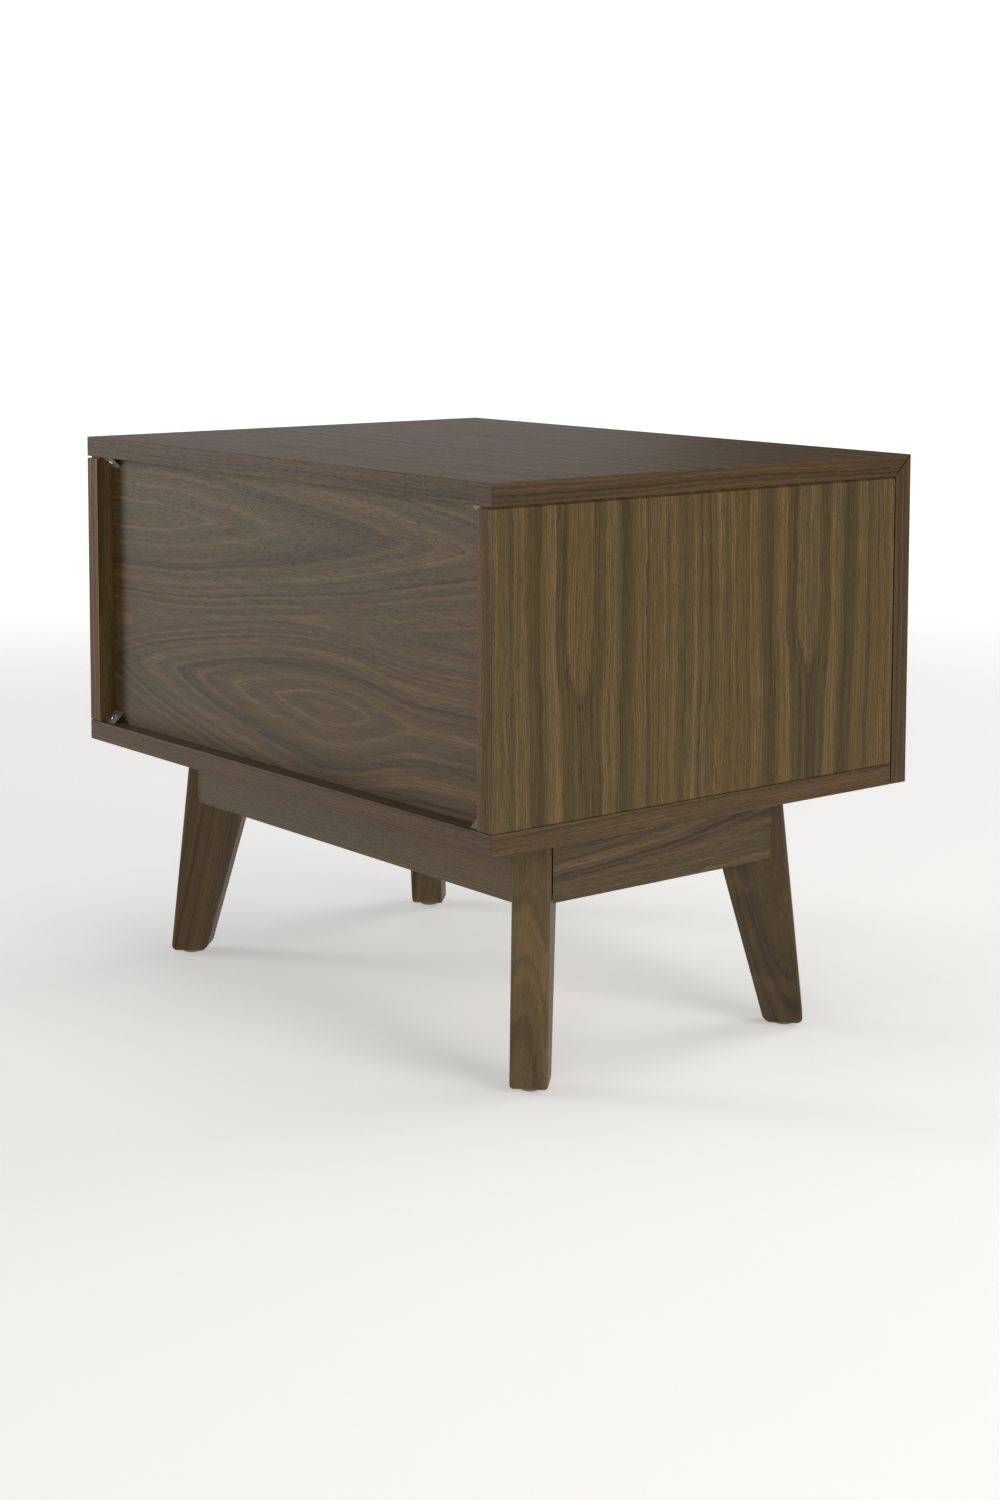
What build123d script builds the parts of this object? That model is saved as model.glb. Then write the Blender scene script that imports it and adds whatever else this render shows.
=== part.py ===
from build123d import *
import math
import os

# Walnut side table: a cabinet box with one drawer, on a low base of four splayed board legs.
# Frame: origin on the floor under the middle of the box, +Z up, X across the width.
# The drawer opens towards -Y, and +Y is the recessed back. Left is -X and right is +X.

# ---- driving dimensions, in millimetres
WIDTH = 610.0
DEPTH = 460.0
BOX_HEIGHT = 286.0
BOARD = 18.0
LEG_HEIGHT = 205.0
GLIDE_HEIGHT = 3.0
EASE = 0.5

# The drawer front closes over the cabinet's front edges and stops short of them by this gap.
FRONT_GAP = 1.5

# Shadow line between a side board and the top board, and a finer one above the bottom board.
SHADOW_HEIGHT = 1.8
SHADOW_DEPTH = 3.0
FINE_LINE_HEIGHT = 0.8
FINE_LINE_DEPTH = 1.5

BACK_RECESS = 16.0
BACK_THICKNESS = 9.0

WEDGE_WIDTH = 15.0
WEDGE_DEPTH = 10.5
WEDGE_HEIGHT = 10.0
WEDGE_WALL = 1.2

# Legs are boards set at 45 degrees in plan. Their outer edge splays out and their inner edge tapers.
LEG_THICKNESS = 31.0
LEG_TOP_WIDTH = 69.0
LEG_SPLAY = 21.5
LEG_FOOT_WIDTH = 33.7
LEG_ROUND = 3.0
LEG_FOOT_OUTER_ROUND = 5.0
LEG_FOOT_INNER_ROUND = 9.0
LEG_INSET_X = 52.0
LEG_INSET_Y = 82.0

APRON_THICKNESS = 20.0
APRON_HEIGHT = 60.0
APRON_INSET_X = 46.0
APRON_INSET_Y = 75.0
APRON_LEG_GAP = 1.0
APRON_ROUND = 1.0

GLIDE_RADIUS = 9.0

# Drawer box
DRAWER_WALL = 12.0
DRAWER_BOTTOM = 6.0
DRAWER_FLOOR_RISE = 12.0
DRAWER_RIM_ROUND = 1.5
DRAWER_LENGTH = 350.0
DRAWER_HEIGHT = 190.0
DRAWER_CLEARANCE = 10.0
DRAWER_GROOVE = 6.0
RUNNER_THICKNESS = 13.0

# Ball-bearing runners
RUNNER_LENGTH = 346.0
RUNNER_HEIGHT = 45.0
RUNNER_ABOVE_DRAWER_FOOT = 64.0
CAGE_LENGTH = 120.0
BALLS_PER_ROW = 6

# ---- levels and planes that follow from them
FLOOR_TO_BOX = GLIDE_HEIGHT + LEG_HEIGHT
TOP = FLOOR_TO_BOX + BOX_HEIGHT
CAVITY_FLOOR = FLOOR_TO_BOX + BOARD
CAVITY_ROOF = TOP - BOARD
CAVITY_MIDDLE = (CAVITY_FLOOR + CAVITY_ROOF) / 2
HALF_WIDTH = WIDTH / 2
INNER_X = HALF_WIDTH - BOARD
FRONT = -DEPTH / 2
REAR = DEPTH / 2
FRONT_BACK = FRONT + BOARD
CARCASS_FRONT = FRONT_BACK + FRONT_GAP
BACK_REAR = REAR - BACK_RECESS
BACK_FRONT = BACK_REAR - BACK_THICKNESS

# The base is centred on the cabinet without its drawer front.
BASE_Y = (REAR + FRONT_BACK) / 2
BASE_HALF_DEPTH = (REAR - FRONT_BACK) / 2
LEG_X = HALF_WIDTH - LEG_INSET_X
LEG_Y = BASE_HALF_DEPTH - LEG_INSET_Y
APRON_X = HALF_WIDTH - APRON_INSET_X
APRON_Y = BASE_HALF_DEPTH - APRON_INSET_Y

DRAWER_X = INNER_X - RUNNER_THICKNESS
DRAWER_INNER_X = DRAWER_X - DRAWER_WALL
DRAWER_REAR = FRONT_BACK + DRAWER_LENGTH
DRAWER_FOOT = CAVITY_FLOOR + DRAWER_CLEARANCE
DRAWER_HEAD = DRAWER_FOOT + DRAWER_HEIGHT
DRAWER_FLOOR_LOW = DRAWER_FOOT + DRAWER_FLOOR_RISE
DRAWER_FLOOR_HIGH = DRAWER_FLOOR_LOW + DRAWER_BOTTOM

RUNNER_Z = DRAWER_FOOT + RUNNER_ABOVE_DRAWER_FOOT
RUNNER_START = FRONT_BACK + 4.0
RUNNER_END = RUNNER_START + RUNNER_LENGTH
CAGE_START = RUNNER_START + 108.0

SIDES = {"left": -1, "right": 1}
ENDS = {"front": -1, "back": 1}
CORNERS = {end + "_" + side: (SIDES[side], ENDS[end]) for end in ENDS for side in SIDES}


# ---- small shape helpers
def block(x0, x1, y0, y1, z0, z1):
    """A box between two corners."""
    middle = Pos((x0 + x1) / 2, (y0 + y1) / 2, (z0 + z1) / 2)
    return middle * Box(abs(x1 - x0), abs(y1 - y0), abs(z1 - z0))


def placed(shape, point, direction):
    """A shape drawn along +Z from the origin, moved to start at point and run along direction."""
    return Plane(origin=point, z_dir=direction) * shape


def rod(point, direction, length, radius):
    """A cylinder from point along direction."""
    shape = Cylinder(radius, length, align=(Align.CENTER, Align.CENTER, Align.MIN))
    return placed(shape, point, direction)


def turned(points):
    """A solid of revolution about Z from (radius, height) points."""
    return revolve(Plane.XZ * make_face(Polyline(*points, close=True)), Axis.Z)


def eased(board):
    """A board with its twelve edges broken by a small radius."""
    return fillet(board.edges(), EASE)


def left_of(shape):
    """The left-hand twin of a right-hand piece."""
    return mirror(shape, about=Plane.YZ)


def sided(shape, side):
    """A right-hand piece, or its twin where the side is left."""
    return shape if SIDES[side] > 0 else left_of(shape)


def lower_of(shape):
    """The twin of a piece at the cavity's roof, at the cavity's floor."""
    return mirror(shape, about=Plane.XY.offset(CAVITY_MIDDLE))


def at_corner(shape, corner):
    """A base piece drawn for the right back corner about the base's centre, at any corner."""
    side, end = CORNERS[corner]
    if side < 0:
        shape = mirror(shape, about=Plane.YZ)
    if end < 0:
        shape = mirror(shape, about=Plane.XZ)
    return Pos(0, BASE_Y, 0) * shape


def save(name, *pieces):
    """Write one node. Several pieces stay separate solids in it."""
    solids = [solid for piece in pieces for solid in piece.solids()]
    shape = solids[0] if len(solids) == 1 else Compound(solids)
    export_step(shape, os.path.join("parts", name + ".step"))


# ---- screws: each is drawn with its head's seat at the origin, driven along +Z
TIP_RADIUS = 0.4
SLOT_WIDTH = 0.9


def flat_screw(length, radius, head_radius, head_height):
    """A countersunk wood screw, flush with its seat."""
    tip = length - 3 * radius
    profile = [(0, 0), (head_radius, 0), (radius, head_height)]
    profile += [(radius, tip), (TIP_RADIUS, length), (0, length)]
    return turned(profile)


def pan_screw(length, radius, head_radius, head_height):
    """A round-headed wood screw, with its head standing off its seat."""
    tip = length - 3 * radius
    crown = head_radius * 0.55
    profile = [(0, -head_height), (crown, -head_height), (head_radius, -head_height * 0.45), (head_radius, 0)]
    profile += [(radius, 0), (radius, tip), (TIP_RADIUS, length), (0, length)]
    return turned(profile)


def cross_recess(depth, reach):
    """The cross slot in a screw's head, cut from the head's top at the origin along +Z."""
    slot = Box(2 * reach, SLOT_WIDTH, depth, align=(Align.CENTER, Align.CENTER, Align.MIN))
    return slot + Rot(0, 0, 90) * slot


class Screw:
    """A screw in place: its solid, with a cross slot, and the plain shape that its hole has."""

    def __init__(self, blank, point, direction, recess_depth, recess_reach, stand_off=0.0):
        slot = Pos(0, 0, -stand_off) * cross_recess(recess_depth, recess_reach)
        self.solid = placed(blank - slot, point, direction)
        self.hole = placed(blank, point, direction)


def holes(screws):
    return [screw.hole for screw in screws]


def solids(screws):
    return [screw.solid for screw in screws]


# ---- cabinet fittings
CAM_RADIUS = 7.5
CAM_DEPTH = 12.5
CAM_FROM_EDGE = 34.0
CAM_Y = 120.0
CAM_THROAT_RADIUS = 3.8
CAM_THROAT_LENGTH = 14.0
CAM_THROAT_BELOW = 4.0
BOLT_GRIP = 11.0
BOLT_THREAD_RADIUS = 2.5
BOLT_SHANK_RADIUS = 3.0
BOLT_SHANK_ABOVE_FOOT = 2.0
BOLT_HEAD_RADIUS = 3.5
BOLT_HEAD_HEIGHT = 3.0
BOLT_WAY_RADIUS = 4.0
DOWEL_RADIUS = 4.0
DOWEL_LENGTH = 30.0
DOWEL_INTO_BOARD = 12.0
DOWEL_Y = 185.0
BOARD_MIDDLE_X = HALF_WIDTH - BOARD / 2
UP = (0, 0, 1)
DOWN = (0, 0, -1)


def cam_lock(y):
    """An eccentric cam in the inner face of the right side board, below the top board."""
    centre = (INNER_X, y, CAVITY_ROOF - CAM_FROM_EDGE)
    disc = rod(centre, (1, 0, 0), CAM_DEPTH, CAM_RADIUS)
    throat_foot = (BOARD_MIDDLE_X, y, centre[2] - CAM_THROAT_BELOW)
    throat = rod(throat_foot, UP, CAM_THROAT_LENGTH, CAM_THROAT_RADIUS)
    slot = placed(cross_recess(1.5, 4.5), centre, (1, 0, 0))
    return disc - throat - slot


def cam_bolt(y):
    """The bolt that is screwed into the top board and held by a cam."""
    foot = CAVITY_ROOF - CAM_FROM_EDGE
    shank_foot = (BOARD_MIDDLE_X, y, foot + BOLT_SHANK_ABOVE_FOOT)
    thread = rod((BOARD_MIDDLE_X, y, CAVITY_ROOF), UP, BOLT_GRIP, BOLT_THREAD_RADIUS)
    shank = rod(shank_foot, UP, CAM_FROM_EDGE - BOLT_SHANK_ABOVE_FOOT, BOLT_SHANK_RADIUS)
    head = rod((BOARD_MIDDLE_X, y, foot), UP, BOLT_HEAD_HEIGHT, BOLT_HEAD_RADIUS)
    return thread + shank + head


def cam_holes(y):
    """Holes for one cam and its bolt: the cam's bore, the bolt's way in, and the bolt's thread."""
    centre = (INNER_X, y, CAVITY_ROOF - CAM_FROM_EDGE)
    bore = rod(centre, (1, 0, 0), CAM_DEPTH, CAM_RADIUS)
    way = rod((BOARD_MIDDLE_X, y, centre[2]), UP, CAM_FROM_EDGE, BOLT_WAY_RADIUS)
    thread = rod((BOARD_MIDDLE_X, y, CAVITY_ROOF), UP, BOLT_GRIP, BOLT_THREAD_RADIUS)
    return [bore, way, thread]


def carcass_dowel(y):
    """A wooden dowel between the right side board and the top board."""
    start = CAVITY_ROOF + DOWEL_INTO_BOARD - DOWEL_LENGTH
    return rod((BOARD_MIDDLE_X, y, start), UP, DOWEL_LENGTH, DOWEL_RADIUS)


def four_ways(shape):
    """A piece at the right end of the top board, and its twins at the other three joints."""
    right = [shape, lower_of(shape)]
    return right + [left_of(piece) for piece in right]


cam_locks = [twin for y in (-CAM_Y, CAM_Y) for twin in four_ways(cam_lock(y))]
cam_bolts = [twin for y in (-CAM_Y, CAM_Y) for twin in four_ways(cam_bolt(y))]
cam_cuts = [twin for y in (-CAM_Y, CAM_Y) for hole in cam_holes(y) for twin in four_ways(hole)]
carcass_dowels = [twin for y in (-DOWEL_Y, DOWEL_Y) for twin in four_ways(carcass_dowel(y))]


# ---- corner wedges that hold the back panel
def back_wedge():
    """A corner wedge under the top board at the right: a thin sloped plate and a cheek at the side board."""

    def prism(depth, height, x0, x1):
        corner = (BACK_REAR, CAVITY_ROOF)
        points = [corner, (BACK_REAR + depth, CAVITY_ROOF), (BACK_REAR, CAVITY_ROOF - height)]
        return extrude(Plane.YZ.offset(x0) * make_face(Polyline(*points, close=True)), x1 - x0)

    wall = WEDGE_WALL * math.sqrt(2)
    open_end = INNER_X - WEDGE_WIDTH
    outside = prism(WEDGE_DEPTH, WEDGE_HEIGHT, open_end, INNER_X)
    inside = prism(WEDGE_DEPTH - wall, WEDGE_HEIGHT - wall, open_end - 1, INNER_X - WEDGE_WALL)
    return outside - inside


def wedge_screw():
    """The screw through the wedge's sloped plate into the corner of the top board."""
    blank = pan_screw(22.0, 1.75, 3.6, 1.8)
    y = BACK_REAR + WEDGE_DEPTH / 2
    z = CAVITY_ROOF - WEDGE_HEIGHT / 2
    point = (INNER_X - WEDGE_WIDTH / 2, y, z)
    slope = (0, -WEDGE_HEIGHT, WEDGE_DEPTH)
    return Screw(blank, point, slope, 1.2, 2.0, stand_off=1.8)


upper_right_screw = wedge_screw()
wedge_screw_cuts = four_ways(upper_right_screw.hole)
wedge_screws = four_ways(upper_right_screw.solid)
upper_right_wedge = back_wedge() - upper_right_screw.hole

# ---- base
LEG_TOP = FLOOR_TO_BOX
LEG_FRAME = Plane(origin=(LEG_X, LEG_Y, LEG_TOP), x_dir=(1, 1, 0), z_dir=UP)
FOOT_MIDDLE = LEG_SPLAY - LEG_FOOT_WIDTH / 2
BRACE_Z = -30.0
BRACE_RADIAL = -74.0
BRACE_STEEL = 2.0
BRACE_HALF_HEIGHT = 22.0
BRACE_TAB = 22.0
BRACE_SCREW_RISE = 12.0
HANGER_RADIUS = 4.0
HANGER_LENGTH = 60.0
HANGER_STAND_OUT = 16.0
HANGER_PLAY = 0.3
NUT_RADIUS = 6.5
NUT_HEIGHT = 6.5
LEG_DOWEL_RADIUS = 3.0
LEG_DOWEL_DEPTH = 10.0
LEG_DOWEL_LEVELS = (-17.0, -43.0)


def corner_leg():
    """The right back leg, in its own frame: x runs out along the diagonal, z is 0 at the top."""
    foot_outer = (LEG_SPLAY, -LEG_HEIGHT)
    foot_inner = (LEG_SPLAY - LEG_FOOT_WIDTH, -LEG_HEIGHT)
    outline = Polyline((0, 0), foot_outer, foot_inner, (-LEG_TOP_WIDTH, 0), close=True)
    board = extrude(Plane.XZ * make_face(outline), LEG_THICKNESS / 2, both=True)
    foot_edges = board.edges().filter_by(Axis.Y).sort_by(Axis.Z)[:2].sort_by(Axis.X)
    board = fillet(foot_edges[0], LEG_FOOT_INNER_ROUND)
    foot_edges = board.edges().filter_by(Axis.Y).filter_by(lambda e: e.center().Z < -1).sort_by(Axis.X)
    board = fillet(foot_edges[-1], LEG_FOOT_OUTER_ROUND)
    arris = [edge for edge in board.edges() if edge.center().Z < -1 and abs(edge.center().Y) > 1]
    return LEG_FRAME * fillet(arris, LEG_ROUND)


def dowel_in_leg(radial, z, towards):
    """A dowel between the leg and an apron, square to the leg's side."""
    start = (radial, towards * (LEG_THICKNESS / 2 - LEG_DOWEL_DEPTH), z)
    length = 2 * LEG_DOWEL_DEPTH + APRON_LEG_GAP
    return LEG_FRAME * rod(start, (0, towards, 0), length, LEG_DOWEL_RADIUS)


def dowel_radial(apron_middle, leg_place):
    """Where along the diagonal the middle of an apron's mitred end lies."""
    return (apron_middle - leg_place) * math.sqrt(2) - LEG_THICKNESS / 2 - APRON_LEG_GAP


side_radial = dowel_radial(APRON_X - APRON_THICKNESS / 2, LEG_X)
end_radial = dowel_radial(APRON_Y - APRON_THICKNESS / 2, LEG_Y)
leg_dowels = [
    dowel_in_leg(radial, z, towards)
    for radial, towards in ((side_radial, -1), (end_radial, 1))
    for z in LEG_DOWEL_LEVELS
]


def corner_brace():
    """A pressed steel plate across the inside of a corner, with a tab on each apron."""
    side_reach = BRACE_RADIAL + (LEG_X - APRON_X + APRON_THICKNESS) * math.sqrt(2)
    end_reach = -BRACE_RADIAL - (LEG_Y - APRON_Y + APRON_THICKNESS) * math.sqrt(2)
    z0 = BRACE_Z - BRACE_HALF_HEIGHT
    z1 = BRACE_Z + BRACE_HALF_HEIGHT
    plate = LEG_FRAME * block(BRACE_RADIAL - BRACE_STEEL, BRACE_RADIAL, side_reach, end_reach, z0, z1)
    side_face = APRON_X - APRON_THICKNESS
    end_face = APRON_Y - APRON_THICKNESS
    side_start = LEG_Y + (BRACE_RADIAL + side_reach) / math.sqrt(2)
    end_start = LEG_X + (BRACE_RADIAL - end_reach) / math.sqrt(2)
    low = LEG_TOP + z0
    high = LEG_TOP + z1
    side_tab = block(side_face - BRACE_STEEL, side_face, side_start - BRACE_TAB, side_start + 1, low, high)
    end_tab = block(end_start - BRACE_TAB, end_start + 1, end_face - BRACE_STEEL, end_face, low, high)
    return plate + side_tab + end_tab, side_start - BRACE_TAB / 2, end_start - BRACE_TAB / 2


brace_blank, side_tab_y, end_tab_x = corner_brace()
BRACE_SCREW = pan_screw(16.0, 1.9, 3.8, 2.0)
brace_screws = []
for level in (BRACE_Z - BRACE_SCREW_RISE, BRACE_Z + BRACE_SCREW_RISE):
    on_side = (APRON_X - APRON_THICKNESS - BRACE_STEEL, side_tab_y, LEG_TOP + level)
    on_end = (end_tab_x, APRON_Y - APRON_THICKNESS - BRACE_STEEL, LEG_TOP + level)
    brace_screws.append(Screw(BRACE_SCREW, on_side, (1, 0, 0), 1.2, 2.2, stand_off=2.0))
    brace_screws.append(Screw(BRACE_SCREW, on_end, (0, 1, 0), 1.2, 2.2, stand_off=2.0))

hanger_start = (BRACE_RADIAL - HANGER_STAND_OUT, 0, BRACE_Z)
hanger_bolt = LEG_FRAME * rod(hanger_start, (1, 0, 0), HANGER_LENGTH, HANGER_RADIUS)
hex_nut = extrude(RegularPolygon(NUT_RADIUS, 6, major_radius=False) - Circle(HANGER_RADIUS), NUT_HEIGHT)
hanger_nut = LEG_FRAME * placed(hex_nut, (BRACE_RADIAL - BRACE_STEEL, 0, BRACE_Z), (-1, 0, 0))
brace_hole = LEG_FRAME * rod(hanger_start, (1, 0, 0), HANGER_LENGTH, HANGER_RADIUS + HANGER_PLAY)
corner_brace_piece = brace_blank - brace_hole - holes(brace_screws)

GLIDE_BEVEL = 1.2
NAIL_HEAD_DEPTH = 1.0
NAIL_HEAD_RADIUS = 2.6
NAIL_HEAD_HEIGHT = 0.9
NAIL_RADIUS = 1.1
NAIL_TAPER_START = 15.0
NAIL_LENGTH = 18.0
GLIDE_PLACE = LEG_FRAME * Pos(FOOT_MIDDLE, 0, -FLOOR_TO_BOX)
glide_profile = [(0, 0), (GLIDE_RADIUS - GLIDE_BEVEL, 0), (GLIDE_RADIUS, GLIDE_BEVEL)]
glide_profile += [(GLIDE_RADIUS, GLIDE_HEIGHT), (0, GLIDE_HEIGHT)]
nail_profile = [(0, 0), (NAIL_HEAD_RADIUS, 0), (NAIL_HEAD_RADIUS, NAIL_HEAD_HEIGHT)]
nail_profile += [(NAIL_RADIUS, NAIL_HEAD_HEIGHT), (NAIL_RADIUS, NAIL_TAPER_START)]
nail_profile += [(TIP_RADIUS, NAIL_LENGTH), (0, NAIL_LENGTH)]
glide_nail = GLIDE_PLACE * Pos(0, 0, NAIL_HEAD_DEPTH) * turned(nail_profile)
glide_well = GLIDE_PLACE * rod((0, 0, 0), UP, NAIL_HEAD_DEPTH, NAIL_HEAD_RADIUS)
foot_glide = GLIDE_PLACE * turned(glide_profile) - glide_nail - glide_well
leg_piece = corner_leg() - leg_dowels - hanger_bolt - glide_nail


def apron(outer, length_outer, thickness):
    """A rail with 45 degree ends, its outer face at y = outer, centred on x = 0."""
    low = LEG_TOP - APRON_HEIGHT
    points = [(-length_outer, outer), (length_outer, outer)]
    points += [(length_outer - thickness, outer - thickness), (thickness - length_outer, outer - thickness)]
    rail = extrude(Plane.XY.offset(low) * make_face(Polyline(*points, close=True)), APRON_HEIGHT)
    return fillet(rail.faces().sort_by(Axis.Z)[0].edges(), APRON_ROUND)


mitre_offset = (LEG_THICKNESS / 2 + APRON_LEG_GAP) * math.sqrt(2)
end_half_length = LEG_X + (APRON_Y - LEG_Y) - mitre_offset
side_half_length = LEG_Y + (APRON_X - LEG_X) - mitre_offset
end_apron = apron(APRON_Y, end_half_length, APRON_THICKNESS)
side_apron = Rot(0, 0, -90) * apron(APRON_X, side_half_length, APRON_THICKNESS)

BASE_SCREW = flat_screw(45.0, 2.2, 4.3, 2.6)
BASE_SCREW_X = 120.0
BASE_SCREW_Y = 60.0
side_rail_x = APRON_X - APRON_THICKNESS / 2
end_rail_y = APRON_Y - APRON_THICKNESS / 2
base_screw_places = [
    (s * x, BASE_Y + e * y)
    for x, y in ((side_rail_x, BASE_SCREW_Y), (BASE_SCREW_X, end_rail_y))
    for s in (-1, 1)
    for e in (-1, 1)
]
base_screws = [Screw(BASE_SCREW, (x, y, CAVITY_FLOOR), DOWN, 1.5, 2.6) for x, y in base_screw_places]


def every_corner(pieces):
    """Each base piece at all four corners."""
    return [at_corner(piece, corner) for corner in CORNERS for piece in pieces]


apron_cuts = every_corner(leg_dowels + holes(brace_screws)) + holes(base_screws)
aprons = {
    "back": Pos(0, BASE_Y, 0) * end_apron - apron_cuts,
    "front": Pos(0, BASE_Y, 0) * mirror(end_apron, about=Plane.XZ) - apron_cuts,
    "right": Pos(0, BASE_Y, 0) * side_apron - apron_cuts,
    "left": Pos(0, BASE_Y, 0) * mirror(side_apron, about=Plane.YZ) - apron_cuts,
}

# ---- push latch on the bottom board, behind the drawer
LATCH_Z = CAVITY_FLOOR + 16.0
LATCH_LENGTH = 57.0
LATCH_BARREL_RADIUS = 6.5
STRIKE_THICKNESS = 1.5
LATCH_TIP = DRAWER_REAR + STRIKE_THICKNESS + FRONT_GAP
LATCH_FRONT = LATCH_TIP + 2.0
LATCH_REAR = LATCH_FRONT + LATCH_LENGTH
LATCH_BORE = 4.0
LATCH_LIP = 6.0
PLUNGER_FIT = 0.05
COLLAR_LENGTH = 25.0
COLLAR_START = LATCH_FRONT + LATCH_LIP + 1.0
COLLAR_END = COLLAR_START + COLLAR_LENGTH
BORE_END = LATCH_REAR - 4.0
LATCH_EAR_X = 13.0
LATCH_EAR_REACH = 19.0
LATCH_EAR_INSET = 14.0
LATCH_EAR_HEIGHT = 3.0
NOSE_RADIUS = 3.2
SPRING_WIRE = 0.4
SPRING_COIL = 3.0
SPRING_TURNS = 6
STRIKE_HALF_WIDTH = 7.0
STRIKE_BELOW = 5.5
STRIKE_ABOVE = 7.0
SPIKE_LENGTH = 9.0
SPIKE_RADIUS = 1.5
BACKWARD = (0, 1, 0)
FORWARD = (0, -1, 0)


def latch_housing():
    """A moulded barrel on a foot with an ear each side, bored for the plunger and its spring."""
    radius = LATCH_BARREL_RADIUS
    barrel = rod((0, LATCH_FRONT, LATCH_Z), BACKWARD, LATCH_LENGTH, radius)
    foot = block(-radius, radius, LATCH_FRONT, LATCH_REAR, CAVITY_FLOOR, LATCH_Z)
    ears_front = LATCH_FRONT + LATCH_EAR_INSET
    ears_rear = LATCH_REAR - LATCH_EAR_INSET
    ears_top = CAVITY_FLOOR + LATCH_EAR_HEIGHT
    ears = block(-LATCH_EAR_REACH, LATCH_EAR_REACH, ears_front, ears_rear, CAVITY_FLOOR, ears_top)
    lip_start = LATCH_FRONT + LATCH_LIP
    bore = rod((0, lip_start, LATCH_Z), BACKWARD, BORE_END - lip_start, LATCH_BORE)
    mouth = rod((0, LATCH_FRONT, LATCH_Z), BACKWARD, LATCH_LIP, NOSE_RADIUS + PLUNGER_FIT)
    return barrel + foot + ears - bore - mouth


def latch_plunger():
    """A stepped plunger: the collar runs in the bore and the nose comes out through the lip."""
    nose = rod((0, LATCH_TIP, LATCH_Z), BACKWARD, COLLAR_START - LATCH_TIP, NOSE_RADIUS)
    return nose + rod((0, COLLAR_START, LATCH_Z), BACKWARD, COLLAR_LENGTH, LATCH_BORE - PLUNGER_FIT)


def latch_spring():
    """The coil spring behind the plunger."""
    height = BORE_END - COLLAR_END - 2 * SPRING_WIRE
    path = Helix(pitch=height / SPRING_TURNS, height=height, radius=SPRING_COIL)
    section = Plane(origin=path @ 0, z_dir=path % 0) * Circle(SPRING_WIRE)
    spring = sweep(section, path=path, is_frenet=True)
    return placed(spring, (0, COLLAR_END + SPRING_WIRE, LATCH_Z), BACKWARD)


LATCH_SCREW = pan_screw(16.0, 1.6, 3.2, 1.8)
latch_screw_y = (LATCH_FRONT + LATCH_REAR) / 2
latch_screws = [
    Screw(
        LATCH_SCREW,
        (s * LATCH_EAR_X, latch_screw_y, CAVITY_FLOOR + LATCH_EAR_HEIGHT),
        DOWN,
        1.1,
        1.9,
        stand_off=1.8,
    )
    for s in (-1, 1)
]
strike_plate = block(
    -STRIKE_HALF_WIDTH,
    STRIKE_HALF_WIDTH,
    DRAWER_REAR,
    DRAWER_REAR + STRIKE_THICKNESS,
    LATCH_Z - STRIKE_BELOW,
    LATCH_Z + STRIKE_ABOVE,
)
strike_spike = rod((0, DRAWER_REAR, LATCH_Z), FORWARD, SPIKE_LENGTH, SPIKE_RADIUS)

# ---- runners, drawn for the right side: u is the distance in from the side board, v the height
STEEL = 1.2
OUTER_FLANGE = 9.6
OUTER_LIP = 2.0
OUTER_BALL = 1.5
INNER_BALL = 1.25
BALL_PLAY = 0.2
MIDDLE_STEEL = 1.0
OUTER_BALL_U = 5.0
INNER_BALL_U = 9.6
OUTER_BALL_V = RUNNER_HEIGHT / 2 - STEEL - BALL_PLAY - OUTER_BALL
MIDDLE_V = OUTER_BALL_V - OUTER_BALL - BALL_PLAY
INNER_BALL_V = MIDDLE_V - MIDDLE_STEEL - BALL_PLAY - INNER_BALL
DRAWER_MEMBER_V = INNER_BALL_V - INNER_BALL - BALL_PLAY
WEB_END = 12.7
MIDDLE_WEB_U = 5.6
MIDDLE_FLANGE_FROM = 3.4
MIDDLE_FLANGE_TO = 11.2
DRAWER_FLANGE_FROM = 8.4
CAGE_STEEL = 0.6
CAGE_PLAY = 0.1
OUTER_CAGE_FROM = 1.8
OUTER_CAGE_TO = 7.5
INNER_CAGE_FROM = 7.2
INNER_CAGE_TO = 11.2


def strip(u0, u1, v0, v1, y0=RUNNER_START, y1=RUNNER_END):
    """A straight strip of a runner's section."""
    return block(INNER_X - u0, INNER_X - u1, y0, y1, RUNNER_Z + v0, RUNNER_Z + v1)


def both_levels(u0, u1, v0, v1, y0=RUNNER_START, y1=RUNNER_END):
    """A strip at the top of a runner and its twin at the bottom."""
    return strip(u0, u1, v0, v1, y0, y1) + strip(u0, u1, -v1, -v0, y0, y1)


def cabinet_member():
    half = RUNNER_HEIGHT / 2
    web = strip(0, STEEL, -half, half)
    flanges = both_levels(0, OUTER_FLANGE, half - STEEL, half)
    lips = both_levels(OUTER_FLANGE - STEEL, OUTER_FLANGE, half - STEEL - OUTER_LIP, half - STEEL)
    return web + flanges + lips


def middle_member():
    web = strip(MIDDLE_WEB_U, MIDDLE_WEB_U + MIDDLE_STEEL, -MIDDLE_V, MIDDLE_V)
    return web + both_levels(MIDDLE_FLANGE_FROM, MIDDLE_FLANGE_TO, MIDDLE_V - MIDDLE_STEEL, MIDDLE_V)


def drawer_member():
    web = strip(WEB_END - STEEL, WEB_END, -DRAWER_MEMBER_V, DRAWER_MEMBER_V)
    return web + both_levels(DRAWER_FLANGE_FROM, WEB_END, DRAWER_MEMBER_V - STEEL, DRAWER_MEMBER_V)


def ball_rows(u, v, radius):
    """Two rows of balls, above and below the runner's middle."""
    pitch = CAGE_LENGTH / BALLS_PER_ROW
    places = [(CAGE_START + pitch * (i + 0.5), level) for i in range(BALLS_PER_ROW) for level in (-v, v)]
    return [Pos(INNER_X - u, y, RUNNER_Z + level) * Sphere(radius) for y, level in places]


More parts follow.
